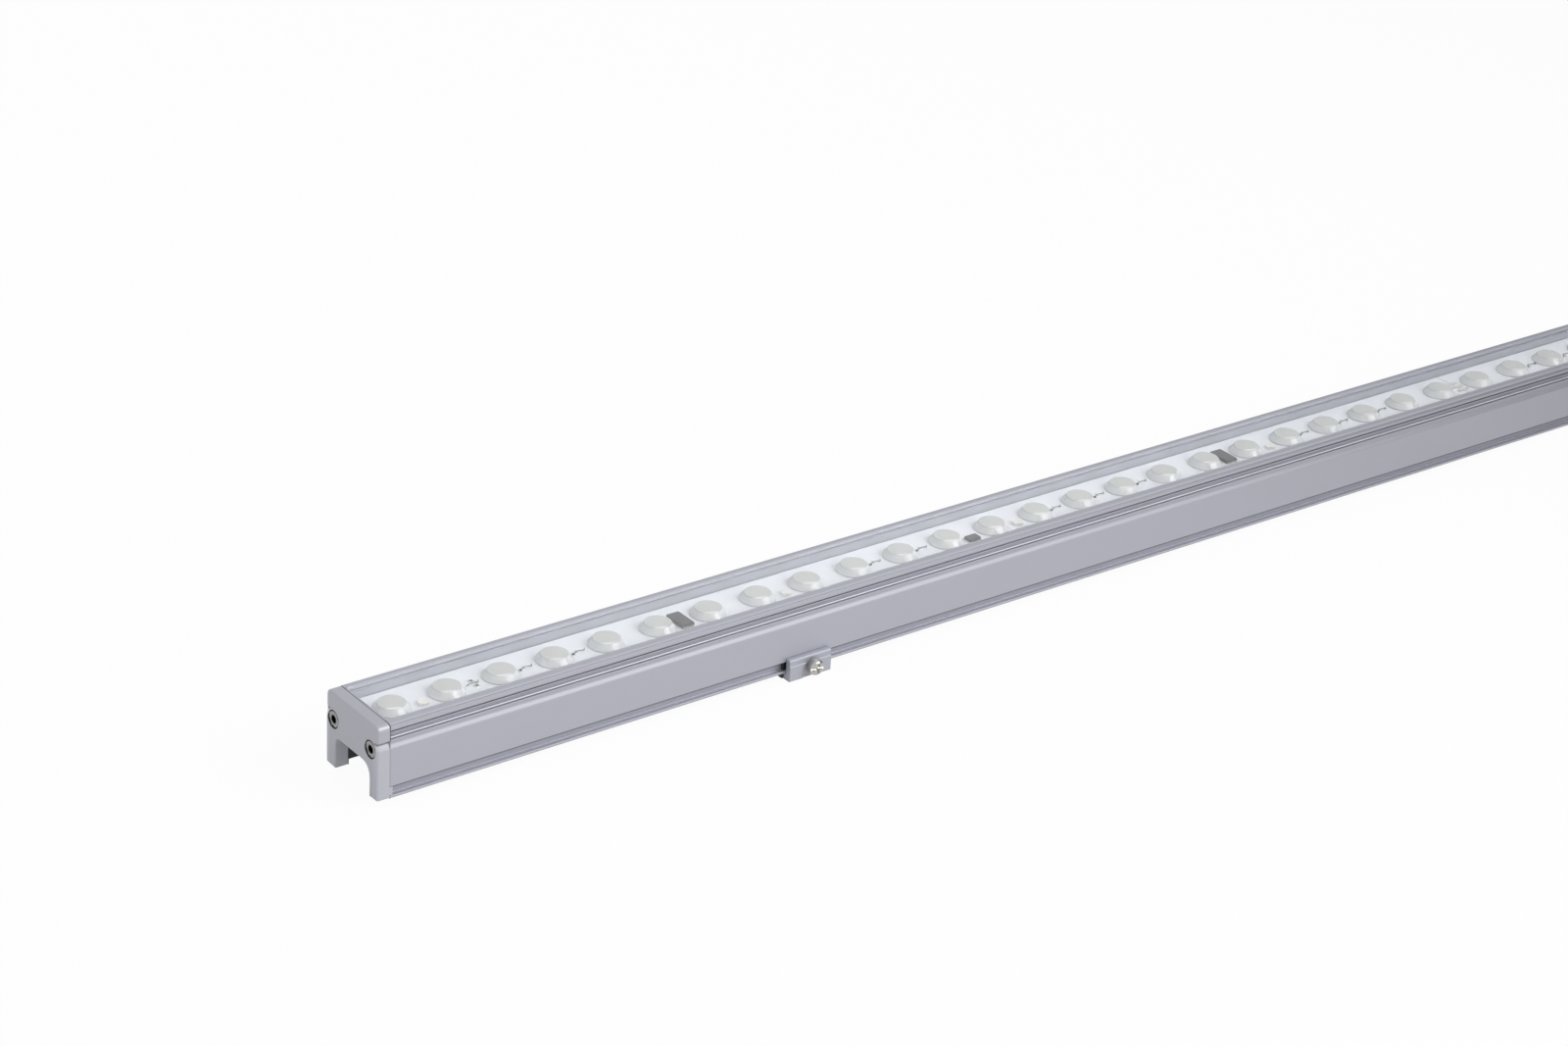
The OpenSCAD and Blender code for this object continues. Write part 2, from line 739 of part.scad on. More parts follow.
module cable_inlet_right() { at_end(true) cable_inlet(); }
module inlet_seal_left() { at_end(false) inlet_seal(); }
module inlet_seal_right() { at_end(true) inlet_seal(); }
module gland_nut_left() { at_end(false) gland_nut(); }
module gland_nut_right() { at_end(true) gland_nut(); }
module gland_ring_left() { at_end(false) gland_ring(); }
module gland_ring_right() { at_end(true) gland_ring(); }
module inlet_screws_left() { at_end(false) inlet_screws(); }
module inlet_screws_right() { at_end(true) inlet_screws(); }

// Clip parts are drawn about the clip's middle; the near side is the jaw's side
near_face = -half_w - slide_gap;
foot_y = near_face + jaw_foot;
foot_top_z = -2 * slide_gap;
far_face = half_w + hook_play;
jaw_outer_y = near_face - jaw_t;

// Tenons that join the base plate to the jaw, or the mortises for them
module tenons() {
    middle_z = -lamp_lift + base_t / 2;
    for (side = [-1, 1])
        block([side * tenon_spacing / 2 - tenon_len / 2, foot_y - tenon_depth,
               middle_z - tenon_h / 2],
              [side * tenon_spacing / 2 + tenon_len / 2, foot_y, middle_z + tenon_h / 2]);
}

// Base plate with its hook in the far groove
module clip_base() {
    outer = far_face + hook_t;
    color(black) difference() {
        union() {
            block([-base_len / 2, foot_y, -lamp_lift], [base_len / 2, outer, -slide_gap]);
            block([-base_len / 2, far_face, -lamp_lift],
                  [base_len / 2, outer, groove_top_z + hook_rise]);
            block([-base_len / 2, half_w - groove_depth + hook_play, lip_h + hook_play],
                  [base_len / 2, outer, groove_top_z - hook_play]);
            tenons();
        }
        for (side = [-1, 1])
            rod_up(0, side * wall_hole_spacing / 2, -lamp_lift - cut, cut, wall_hole_d / 2);
    }
}
module clip_base_left() { at_clip(false) clip_base(); }
module clip_base_right() { at_clip(true) clip_base(); }

// Section of the jaw, as depth and height, with its rounded top lip and its proud lower part
module jaw_section() {
    proud_y = jaw_outer_y - jaw_step;
    polygon(concat(
        [[foot_y, -lamp_lift], [foot_y, foot_top_z], [near_face, foot_top_z],
         [near_face, jaw_top_z]],
        arc([jaw_outer_y + jaw_lip_radius, jaw_top_z - jaw_lip_radius], jaw_lip_radius, 90, 180),
        [[jaw_outer_y, jaw_step_z], [proud_y, jaw_step_z - jaw_step * bend_depth_share],
         [proud_y, -lamp_lift]]));
}

// Round notch in the jaw's proud part, open at the bottom
module jaw_notch() {
    from_y = jaw_outer_y - jaw_step - cut;
    rod_across(0, from_y, jaw_outer_y, notch_z, notch_radius);
    block([-notch_radius, from_y, -lamp_lift - cut], [notch_radius, jaw_outer_y, notch_z]);
}

module clip_jaw() {
    color(cap_grey) difference() {
        translate([jaw_shift, 0, 0]) along(-jaw_len / 2, jaw_len / 2) jaw_section();
        translate([clamp_shift, 0, 0]) jaw_notch();
        rod_across(clamp_shift, jaw_outer_y - jaw_step - cut, near_face + cut, clamp_z,
                   clamp_screw_d / 2 + clamp_play);
        tenons();
    }
}
module clip_jaw_left() { at_clip(false) clip_jaw(); }
module clip_jaw_right() { at_clip(true) clip_jaw(); }

// Pad in the near groove: the clamp screw presses it on the groove's back wall
pad_back_y = -half_w + groove_depth - clamp_pad_play;
pad_front_y = pad_back_y - clamp_pad_t;
module clamp_pad() {
    color(black)
        block([-base_len / 2, pad_front_y, lip_h + clamp_pad_inset],
              [base_len / 2, pad_back_y, groove_top_z - clamp_pad_inset]);
}
module clamp_pad_left() { at_clip(false) clamp_pad(); }
module clamp_pad_right() { at_clip(true) clamp_pad(); }

// Clamp screw about its own axis, with a pan head, a slot and a shorter cross slot
module clamp_screw() {
    head_y = jaw_outer_y - clamp_head_gap;
    top_y = head_y - clamp_head_h;
    head_r = clamp_head_d / 2;
    pan_r = clamp_head_h * clamp_pan_share;
    pan_centre = [head_r - pan_r, clamp_head_h - pan_r];
    cross = head_r * clamp_cross_share;
    half_slot = clamp_slot_w / 2;
    color(steel) translate([clamp_shift, 0, clamp_z]) difference() {
        union() {
            rod_across(0, head_y - cut, near_face, 0, clamp_screw_d / 2);
            rod_across(0, near_face - cut, pad_front_y, 0, clamp_tip_radius);
            translate([0, head_y, lamp_lift]) rotate([90, 0, 0]) rotate_extrude()
                polygon(concat([[0, 0], [head_r, 0]], arc(pan_centre, pan_r, 0, 90),
                               [[0, clamp_head_h]]));
        }
        block([-head_r - cut, top_y - cut, -half_slot],
              [head_r + cut, top_y + clamp_slot_depth, half_slot]);
        block([-half_slot, top_y - cut, -cross], [half_slot, top_y + clamp_slot_depth, cross]);
    }
}
module clamp_screw_left() { at_clip(false) clamp_screw(); }
module clamp_screw_right() { at_clip(true) clamp_screw(); }

housing();
cover_glass();
glass_seal();
end_cap_left();
end_cap_right();
cap_gasket_left();
cap_gasket_right();
cap_screws_left();
cap_screws_right();
circuit_board_left();
circuit_board_right();
heat_pad_left();
heat_pad_right();
board_screws_left();
board_screws_right();
light_chips_left();
light_chips_right();
lens_row_1();
lens_row_2();
lens_row_3();
lens_row_4();
lens_row_5();
lens_row_6();
lens_row_7();
lens_row_8();
driver_chips_left();
driver_chips_right();
regulator_left();
regulator_right();
resistors_left();
resistors_right();
board_link();
power_leads_left();
power_leads_right();
cable_inlet_left();
cable_inlet_right();
inlet_seal_left();
inlet_seal_right();
gland_nut_left();
gland_nut_right();
gland_ring_left();
gland_ring_right();
inlet_screws_left();
inlet_screws_right();
clip_base_left();
clip_base_right();
clip_jaw_left();
clip_jaw_right();
clamp_pad_left();
clamp_pad_right();
clamp_screw_left();
clamp_screw_right();
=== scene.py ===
# %% [markdown]
# # A wall washer light on a white studio floor
# The lamp is an aluminium profile about a metre long. A glass strip closes its top, and a row of
# clear lenses lies under the glass. This lesson keeps the exact parts that came from the CAD
# model where their shape is right, and makes new surfaces with numpy where a casting, a lens or a
# soft edge asks for more.

# %% Load the part
import json
import math

import bmesh
import bpy
import numpy as np
from mathutils import Matrix, Vector
from mathutils.geometry import tessellate_polygon


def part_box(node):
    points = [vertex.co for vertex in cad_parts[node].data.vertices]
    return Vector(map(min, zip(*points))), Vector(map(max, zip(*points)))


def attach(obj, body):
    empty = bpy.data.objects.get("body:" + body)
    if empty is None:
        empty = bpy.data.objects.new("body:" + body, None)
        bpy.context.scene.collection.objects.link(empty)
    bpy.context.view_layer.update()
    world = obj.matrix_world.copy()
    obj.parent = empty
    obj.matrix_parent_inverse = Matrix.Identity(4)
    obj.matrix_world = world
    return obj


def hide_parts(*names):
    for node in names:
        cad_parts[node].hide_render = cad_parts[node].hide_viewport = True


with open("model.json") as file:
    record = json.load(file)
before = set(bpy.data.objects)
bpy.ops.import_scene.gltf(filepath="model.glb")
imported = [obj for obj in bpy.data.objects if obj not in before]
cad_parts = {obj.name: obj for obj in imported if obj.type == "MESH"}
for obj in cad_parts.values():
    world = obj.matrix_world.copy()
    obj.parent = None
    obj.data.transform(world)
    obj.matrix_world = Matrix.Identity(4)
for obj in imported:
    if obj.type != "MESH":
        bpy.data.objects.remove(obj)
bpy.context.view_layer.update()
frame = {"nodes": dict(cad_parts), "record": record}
MM = 0.001

# %% [markdown]
# ## Measures
# Every new surface has to sit where the CAD part is, so the main levels are read from the boxes
# of the CAD nodes. All shapes below are worked out in millimetres and turned into metres at the
# end.

# %% Levels of the lamp
LENS_COUNT, LENSES_IN_ROW = 48, 6


def box_mm(node):
    """Lowest and highest corners of a CAD node, in millimetres."""
    return [np.array(corner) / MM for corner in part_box(node)]


housing_low, housing_high = box_mm("housing")
cap_low, cap_high = box_mm("end_cap_left")
lens_low, lens_high = box_mm("lens_row_1")
LIFT = housing_low[2]
HALF_W = housing_high[1]
BODY_H = housing_high[2] - LIFT
BOARD_TOP = box_mm("circuit_board_left")[1][2]
LAMP_END = cap_low[0]
LENS_R = (lens_high[1] - lens_low[1]) / 2
LENS_H = lens_high[2] - lens_low[2]
FIRST_LENS = lens_low[0] + LENS_R
LENS_PITCH = -2 * FIRST_LENS / (LENS_COUNT - 1)
print("lift", LIFT, "half width", HALF_W, "height", BODY_H, "lens pitch", round(LENS_PITCH, 4))

# %% [markdown]
# ## Tools for surfaces
# A surface is a grid of points: one direction runs round an outline, the other along a path. The
# helpers below build such grids as whole arrays, join several of them into one piece, and hand
# the piece to Blender with closed seams and faces that point outwards. Primitives cut by booleans
# could give such shapes too, but a formula gives every edge its own radius and follows a changed
# size.

# %% Grids and rounded outlines
MERGE = 0.000001
SMOOTH_ANGLE = math.radians(40)


def grid_faces(rows, columns):
    """Quads of a grid whose last column joins its first: each takes a point, the next one round,
    and the same two in the next row."""
    row, column = np.meshgrid(np.arange(rows - 1), np.arange(columns), indexing="ij")
    after = (column + 1) % columns
    quads = [row * columns + column, row * columns + after,
             (row + 1) * columns + after, (row + 1) * columns + column]
    return np.stack(quads, axis=-1).reshape(-1, 4).tolist()


def round_corners(corners, steps=4):
    """Closed outline from rows of (across, up, radius). Each corner becomes a quadratic curve that
    leaves one side and meets the next at the tangent length, at most 0.45 of either side."""
    table = np.asarray(corners, float)
    point, radius = table[:, :2], table[:, 2:3]
    back = np.roll(point, 1, axis=0) - point
    ahead = np.roll(point, -1, axis=0) - point
    back_length = np.linalg.norm(back, axis=1, keepdims=True)
    ahead_length = np.linalg.norm(ahead, axis=1, keepdims=True)
    reach = np.minimum(radius, 0.45 * np.minimum(back_length, ahead_length))
    start = point + back / back_length * reach
    end = point + ahead / ahead_length * reach
    t = np.linspace(0, 1, steps + 1)[None, :, None]
    curve = (1 - t) ** 2 * start[:, None] + 2 * t * (1 - t) * point[:, None]
    curve = curve + t ** 2 * end[:, None]
    outline = curve.reshape(-1, 2)
    fresh = np.linalg.norm(outline - np.roll(outline, 1, axis=0), axis=1) > 1e-4
    return outline[fresh]


def inward(outline):
    """Unit directions into a closed outline that runs anticlockwise: its tangent turned left."""
    after = np.roll(outline, -1, axis=0)
    tangent = after - np.roll(outline, 1, axis=0)
    left_of = np.stack([-tangent[:, 1], tangent[:, 0]], axis=1)
    area = np.sum(outline[:, 0] * after[:, 1] - after[:, 0] * outline[:, 1])
    return np.sign(area) * left_of / np.linalg.norm(left_of, axis=1, keepdims=True)


rounded_square = round_corners([(0, 0, 1), (4, 0, 1), (4, 4, 1), (0, 4, 1)])
print("a square with round corners:", len(rounded_square), "points")

# %% Prisms, boxes and turned shapes
AXES = {"x": [2, 0, 1], "y": [0, 2, 1], "z": [0, 1, 2]}


def prism(outline, levels, insets, axis="x"):
    """An outline carried along an axis: at each level it is drawn in by that level's inset, and the
    first and last rings are closed with one flat face each."""
    levels, insets = np.asarray(levels, float), np.asarray(insets, float)
    rings = outline[None] + inward(outline)[None] * insets[:, None, None]
    heights = np.broadcast_to(levels[:, None, None], (len(levels), len(outline), 1))
    points = np.concatenate([rings, heights], axis=2).reshape(-1, 3)[:, AXES[axis]]
    count = len(outline)
    faces = grid_faces(len(levels), count)
    faces.append(list(range(count))[::-1])
    faces.append(list(range(count * (len(levels) - 1), count * len(levels))))
    return points, faces


def rounded_levels(low, high, radius, steps=3):
    """Levels and insets of a prism with rounded ends: a quarter circle at the low end and another
    at the high end, each in equal steps of angle."""
    angle = np.linspace(0, math.pi / 2, steps + 1)
    rise, inset = radius * (1 - np.cos(angle)), radius * (1 - np.sin(angle))
    return np.concatenate([low + rise, high - rise[::-1]]), np.concatenate([inset, inset[::-1]])


def rounded_box(low, high, radius=0.15, axis="z", steps=2):
    """A box between two corners with rounded edges all round, as a rounded prism."""
    flat = {"x": (1, 2), "y": (0, 2), "z": (0, 1)}[axis]
    a, b = flat
    up = 3 - a - b
    corners = [(low[a], low[b], radius), (high[a], low[b], radius),
               (high[a], high[b], radius), (low[a], high[b], radius)]
    levels, insets = rounded_levels(low[up], high[up], radius, steps)
    return prism(round_corners(corners, steps), levels, insets, axis)


def turned(profile, centre, axis="z", segments=48):
    """A profile of (radius, height) turned round an axis: x is radius times cosine and y is radius
    times sine of the turn, and a radius of zero closes the pole."""
    profile = np.asarray(profile, float)
    turn = np.linspace(0, 2 * math.pi, segments, endpoint=False)
    ring = np.stack([np.cos(turn), np.sin(turn)], axis=1)
    flat = profile[:, None, :1] * ring[None]
    height = np.broadcast_to(profile[:, None, 1:], (len(profile), segments, 1))
    points = np.concatenate([flat, height], axis=2).reshape(-1, 3)[:, AXES[axis]]
    return points + np.asarray(centre, float), grid_faces(len(profile), segments)


def curve_points(centre, radius, start_deg, end_deg, steps=6):
    """Points on an arc: the centre plus the radius times the cosine and the sine of the angle."""
    angle = np.radians(np.linspace(start_deg, end_deg, steps + 1))
    way = np.stack([np.cos(angle), np.sin(angle)], axis=1)
    return np.asarray(centre, float) + radius * way


def circle(centre, radius, count=40):
    """A full circle: an arc of 360 degrees without its last point, which repeats the first."""
    return curve_points(centre, radius, 0, 360, count)[:-1]


def join_shapes(shapes):
    """Several shapes as one: their points one after another, and their faces counted on."""
    offsets = np.cumsum([0] + [len(points) for points, faces in shapes])
    points = np.concatenate([points for points, faces in shapes])
    faces = [[index + offset for index in face]
             for offset, (_, own) in zip(offsets, shapes) for face in own]
    return points, faces


print("a rounded box:", len(rounded_box((0, 0, 0), (4, 4, 4), 0.5)[1]), "faces")


# %% Handing a surface to Blender
def turned_round(shape):
    """The same shape at the right end: a half turn about the upright axis."""
    points, faces = shape
    return points * np.array([-1, -1, 1]), faces


def mirrored_along(shape):
    """The same shape mirrored along the lamp, with its faces turned back."""
    points, faces = shape
    return points * np.array([-1, 1, 1]), [face[::-1] for face in faces]


def finish_mesh(mesh):
    """Merges doubles, points the faces outwards and marks the sharp edges."""
    shape = bmesh.new()
    shape.from_mesh(mesh)
    bmesh.ops.remove_doubles(shape, verts=shape.verts, dist=MERGE)
    bmesh.ops.dissolve_degenerate(shape, edges=shape.edges, dist=MERGE)
    bmesh.ops.recalc_face_normals(shape, faces=shape.faces)
    shape.to_mesh(mesh)
    shape.free()
    mesh.shade_smooth()
    mesh.set_sharp_from_angle(angle=SMOOTH_ANGLE)


def add_piece(name, shape, slot, body, replaced):
    """A finished piece: its mesh in place, its material, its body and the CAD nodes that it stands
    for."""
    points, faces = shape
    mesh = bpy.data.meshes.new(name)
    mesh.from_pydata((points * MM).tolist(), [], faces)
    finish_mesh(mesh)
    piece = bpy.data.objects.new(name, mesh)
    bpy.context.scene.collection.objects.link(piece)
    even = piece.modifiers.new("even_normals", "WEIGHTED_NORMAL")
    even.keep_sharp = True
    mesh.materials.append(materials[slot])
    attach(piece, body)
    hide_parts(*replaced)
    print(name, len(mesh.vertices), "points")


# %% [markdown]
# ## Materials
# Anodised aluminium, a cast cap and a moulded clip are all nearly one colour. What makes them
# real is small: lines left by the extrusion die, a fine grain and a little unevenness in the
# gloss. Each material could have its own noise, but then they would drift apart. So one node
# group works these out from Object coordinates, and every material uses it with its own values.

# %% Node helpers
def add_input(group, name, kind, value):
    """An input socket of a node group and the value it starts with."""
    socket = group.interface.new_socket(name, in_out="INPUT", socket_type=kind)
    socket.default_value = value


def noise_node(nodes, detail, roughness=0.5):
    """A noise texture: layers of noise, each finer than the last and weaker by the roughness."""
    noise = nodes.new("ShaderNodeTexNoise")
    noise.inputs["Detail"].default_value = detail
    noise.inputs["Roughness"].default_value = roughness
    return noise


def math_node(nodes, operation, first, second=None, third=None):
    """One operation on up to three values: numbers are written in, and sockets are linked."""
    step = nodes.new("ShaderNodeMath")
    step.operation = operation
    for index, value in enumerate([first, second, third]):
        if isinstance(value, (int, float)):
            step.inputs[index].default_value = value
        elif value is not None:
            nodes.id_data.links.new(value, step.inputs[index])
    return step.outputs[0]


def scaled(nodes, color, factor):
    """A colour times a number."""
    step = nodes.new("ShaderNodeVectorMath")
    step.operation = "SCALE"
    nodes.id_data.links.new(color, step.inputs[0])
    nodes.id_data.links.new(factor, step.inputs["Scale"])
    return step.outputs[0]


def painted(nodes, color, mask, coat):
    """A colour times one less the mask, plus a fixed coat times the mask."""
    step = nodes.new("ShaderNodeMix")
    step.data_type = "RGBA"
    nodes.id_data.links.new(mask, step.inputs["Factor"])
    nodes.id_data.links.new(color, step.inputs[6])
    step.inputs[7].default_value = (*coat, 1)
    return step.outputs[2]


# %% Sockets of a group for worked surfaces
surface_group = bpy.data.node_groups.new("worked_surface", "ShaderNodeTree")
add_input(surface_group, "Vector", "NodeSocketVector", (0, 0, 0))
add_input(surface_group, "Color", "NodeSocketColor", (0.5, 0.5, 0.5, 1))
for input_name, input_value in (("Roughness", 0.4), ("Mottle", 0.04), ("Grain Scale", 2500.0),
                                ("Grain Amount", 0.1), ("Line Amount", 0.0)):
    add_input(surface_group, input_name, "NodeSocketFloat", input_value)
for output_name, output_kind in (("Color", "NodeSocketColor"), ("Roughness", "NodeSocketFloat"),
                                 ("Height", "NodeSocketFloat")):
    surface_group.interface.new_socket(output_name, in_out="OUTPUT", socket_type=output_kind)
print("sockets:", [item.name for item in surface_group.interface.items_tree])

# %% Inside the group
MOTTLE_SCALE = 55.0
LINE_STRETCH = (6.0, 2600.0, 2600.0)
inside = surface_group.nodes
group_in = inside.new("NodeGroupInput")
group_out = inside.new("NodeGroupOutput")
link = surface_group.links.new
mottle_noise, grain_noise = noise_node(inside, 4.0), noise_node(inside, 2.0)
line_noise = noise_node(inside, 3.0, 0.6)
line_stretch = inside.new("ShaderNodeVectorMath")
line_stretch.operation = "MULTIPLY"
line_stretch.inputs[1].default_value = LINE_STRETCH
mottle_noise.inputs["Scale"].default_value = MOTTLE_SCALE
line_noise.inputs["Scale"].default_value = 1.0
for vector_input in (mottle_noise.inputs["Vector"], grain_noise.inputs["Vector"],
                     line_stretch.inputs[0]):
    link(group_in.outputs["Vector"], vector_input)
link(group_in.outputs["Grain Scale"], grain_noise.inputs["Scale"])
link(line_stretch.outputs[0], line_noise.inputs["Vector"])


def noise_share(noise, amount):
    """A noise less a half, so that it swings about zero, times one of the group's inputs."""
    swing = math_node(inside, "SUBTRACT", noise.outputs[0], 0.5)
    return math_node(inside, "MULTIPLY", swing, group_in.outputs[amount])


mottle_part = noise_share(mottle_noise, "Mottle")
fine_part = math_node(inside, "ADD", noise_share(grain_noise, "Grain Amount"),
                      noise_share(line_noise, "Line Amount"))
tone = math_node(inside, "ADD", math_node(inside, "ADD", mottle_part, fine_part), 1.0)
uneven_gloss = math_node(inside, "ADD", mottle_part, math_node(inside, "MULTIPLY", fine_part, 0.5))
link(scaled(inside, group_in.outputs["Color"], tone), group_out.inputs["Color"])
link(math_node(inside, "ADD", group_in.outputs["Roughness"], uneven_gloss),
     group_out.inputs["Roughness"])
link(math_node(inside, "ADD", fine_part, 0.5), group_out.inputs["Height"])
print("group:", surface_group.name, len(inside), "nodes")

# %% Materials from the group
materials = {}
COAT_ROUGHNESS = 0.08


def add_material(name, color, roughness, metallic=0.0, mottle=0.04, grain=(2500.0, 0.1), lines=0.0,
                 bump=0.00002, coat=0.0, transmission=0.0, ior=1.5):
    """A Principled material whose colour, roughness and height come from the worked surface
    group."""
    made = bpy.data.materials.new(name)
    made.use_nodes = True
    nodes, links = made.node_tree.nodes, made.node_tree.links
    shader = nodes["Principled BSDF"]
    for title, value in (("Metallic", metallic), ("Coat Weight", coat),
                         ("Coat Roughness", COAT_ROUGHNESS),
                         ("Transmission Weight", transmission), ("IOR", ior)):
        shader.inputs[title].default_value = value
    group = nodes.new("ShaderNodeGroup")
    group.node_tree = surface_group
    for title, value in (("Color", (*color, 1)), ("Roughness", roughness), ("Mottle", mottle),
                         ("Grain Scale", grain[0]), ("Grain Amount", grain[1]),
                         ("Line Amount", lines)):
        group.inputs[title].default_value = value
    relief = nodes.new("ShaderNodeBump")
    relief.inputs["Distance"].default_value = bump
    links.new(nodes.new("ShaderNodeTexCoord").outputs["Object"], group.inputs["Vector"])
    links.new(group.outputs["Color"], shader.inputs["Base Color"])
    links.new(group.outputs["Roughness"], shader.inputs["Roughness"])
    links.new(group.outputs["Height"], relief.inputs["Height"])
    links.new(relief.outputs["Normal"], shader.inputs["Normal"])
    materials[name] = made
    return made


# %% The lamp's materials
add_material("anodised_aluminium", (0.465, 0.470, 0.520), 0.52, metallic=0.7, mottle=0.03,
             grain=(2400.0, 0.10), lines=0.03, bump=0.000006)
add_material("cap_metal", (0.465, 0.470, 0.510), 0.50, metallic=0.6, mottle=0.05,
             grain=(2600.0, 0.16), bump=0.00003)
add_material("jaw_metal", (0.455, 0.462, 0.510), 0.62, metallic=0.6, mottle=0.05,
             grain=(2400.0, 0.12), lines=0.03, bump=0.000006)
add_material("clear_sealant", (0.49, 0.50, 0.56), 0.35, mottle=0.08, grain=(900.0, 0.06))
add_material("black_rubber", (0.09, 0.09, 0.10), 0.55, mottle=0.2, grain=(3000.0, 0.2))
add_material("stainless_steel", (0.50, 0.49, 0.47), 0.2, metallic=1.0, mottle=0.1,
             grain=(3500.0, 0.12))
add_material("white_board", (0.80, 0.81, 0.85), 0.35, mottle=0.02, grain=(1500.0, 0.03))
add_material("grey_pad", (0.42, 0.45, 0.49), 0.6, mottle=0.1, grain=(2500.0, 0.1))
add_material("light_chip", (0.85, 0.78, 0.42), 0.3, mottle=0.05, grain=(4000.0, 0.08))
add_material("black_chip", (0.035, 0.036, 0.04), 0.42, mottle=0.15, grain=(5000.0, 0.3))
add_material("tinned_link", (0.70, 0.68, 0.64), 0.3, metallic=1.0, mottle=0.15,
             grain=(2500.0, 0.2))
add_material("wire_insulation", (0.035, 0.032, 0.032), 0.35, mottle=0.08, grain=(2500.0, 0.08))
add_material("black_plastic", (0.020, 0.021, 0.025), 0.45, mottle=0.2, grain=(3000.0, 0.25))
add_material("clear_lens", (0.635, 0.64, 0.63), 0.16, mottle=0.02, grain=(800.0, 0.02),
             coat=0.3, transmission=0.2, ior=1.49)
print("solid materials:", len(materials))

# %% [markdown]
# ## Painted shade in the cable channel
# Seen through the arch in the cap, the channel under the lamp is black, where deep shade falls. A
# second shell inside the housing could show that, but it would lie right on the metal. So the
# shade is painted: a mask from Object coordinates gives its place, within the channel's width and
# below its roof, and there the colour is near black and the metal is taken away.

# %% Painted channel shade mask
CHANNEL_Z = BODY_H * 0.425
CHANNEL_SHADE_HALF_W = 12.45
# Painted shade: the near black of the channel's inside.
CHANNEL_SHADE_COLOR = (0.012, 0.012, 0.013)


def open_color(material):
    """The nodes of a material, its Object coordinates by axis, its group's colour, and the socket
    that this colour feeds, so that a tone can be set between the two."""
    nodes, links = material.node_tree.nodes, material.node_tree.links
    split = nodes.new("ShaderNodeSeparateXYZ")
    links.new(nodes["Texture Coordinate"].outputs["Object"], split.inputs[0])
    color = nodes["Group"].outputs["Color"]
    return nodes, split.outputs, color, color.links[0].to_socket


def add_painted_channel_shade(material, half_width, roof):
    """Mixes painted shade, near black, into the colour, and takes the metal away, where the mask is
    one.
    """
    nodes, place, color, target = open_color(material)
    across = math_node(nodes, "ABSOLUTE", place["Y"])
    mask = math_node(nodes, "MULTIPLY", math_node(nodes, "LESS_THAN", across, half_width * MM),
                     math_node(nodes, "LESS_THAN", place["Z"], roof * MM))
    bare = math_node(nodes, "SUBTRACT", 1.0, mask)
    metallic = nodes["Principled BSDF"].inputs["Metallic"]
    links = material.node_tree.links
    links.new(painted(nodes, color, mask, CHANNEL_SHADE_COLOR), target)
    links.new(math_node(nodes, "MULTIPLY", bare, metallic.default_value), metallic)


# Painted shade, near black, inside the cable channel.
add_painted_channel_shade(materials["anodised_aluminium"], CHANNEL_SHADE_HALF_W, LIFT + CHANNEL_Z + 0.05)
print("lined up to", round(LIFT + CHANNEL_Z, 2), "mm above the wall")

# %% [markdown]
# ## Painted shade and highlights on grooves and ridges
# The grooves of the profile, its top corner and the crease round the cap are darker, as painted
# shade, and the first rib, the clip groove's floor and some slanted bands are lighter, as painted
# highlights. Light alone shows these lines too softly on a profile this small, so each band of
# height also has its own tone, which grows with the depth below the side face.

# %% Painted shade and highlight bands
SHOULDER_Z = BODY_H * 0.67
SHOULDER_TOP = SHOULDER_Z + BODY_H * 0.107
RIDGE_Z = SHOULDER_TOP + 0.94
SKIN = 2.2
ANY_DEPTH = (-0.2, -0.1)
IN_GROOVE = (0.3, 0.8)


def add_painted_light_bands(material, bands):
    """Scales the colour by one less the sum of the bands' shares: painted shade where a share is
    positive, painted highlight where it is negative. A band has a low and a high level, the depths
    below the side face where its share starts and is full, and that share."""
    nodes, place, color, target = open_color(material)
    outward = math_node(nodes, "ABSOLUTE", place["Y"])
    shade = 0.0
    for low, high, (start, full), share in bands:
        above = math_node(nodes, "GREATER_THAN", place["Z"], (LIFT + low) * MM)
        below = math_node(nodes, "LESS_THAN", place["Z"], (LIFT + high) * MM)
        depth = math_node(nodes, "MULTIPLY_ADD", outward, -1 / ((full - start) * MM),
                          (HALF_W - start) / (full - start))
        depth = math_node(nodes, "MINIMUM", math_node(nodes, "MAXIMUM", depth, 0.0), 1.0)
        band = math_node(nodes, "MULTIPLY", math_node(nodes, "MULTIPLY", above, below), share)
        shade = math_node(nodes, "MULTIPLY_ADD", band, depth, shade)
    outside = math_node(nodes, "GREATER_THAN", outward, (HALF_W - SKIN) * MM)
    factor = math_node(nodes, "SUBTRACT", 1.0, math_node(nodes, "MULTIPLY", shade, outside))
    material.node_tree.links.new(scaled(nodes, color, factor), target)


# Painted shade in grooves and top corner, painted highlights on first rib and clip groove floor.
profile_light_bands = [
    (SHOULDER_TOP - 2.9, SHOULDER_TOP - 0.3, ANY_DEPTH, 0.08),  # slanted shoulder
    (SHOULDER_TOP + 0.02, RIDGE_Z, IN_GROOVE, 0.50),            # groove above the shoulder
    (RIDGE_Z + 0.05, RIDGE_Z + 0.56, ANY_DEPTH, -0.35),         # light first rib
    (RIDGE_Z + 0.56, BODY_H - 1.7, IN_GROOVE, 0.24),            # grooves between the ribs
    (BODY_H - 1.3, BODY_H - 0.5, ANY_DEPTH, 0.1),               # round top corner
    (BODY_H - 1.0, BODY_H - 0.5, ANY_DEPTH, 0.32),              # fine line in that corner
    (0.9, 1.06, IN_GROOVE, -0.15),                              # floor of the clip groove
    (1.06, 2.75, IN_GROOVE, 0.14),                              # its back, low
    (2.75, 3.9, IN_GROOVE, 0.5)]                                # its back, high
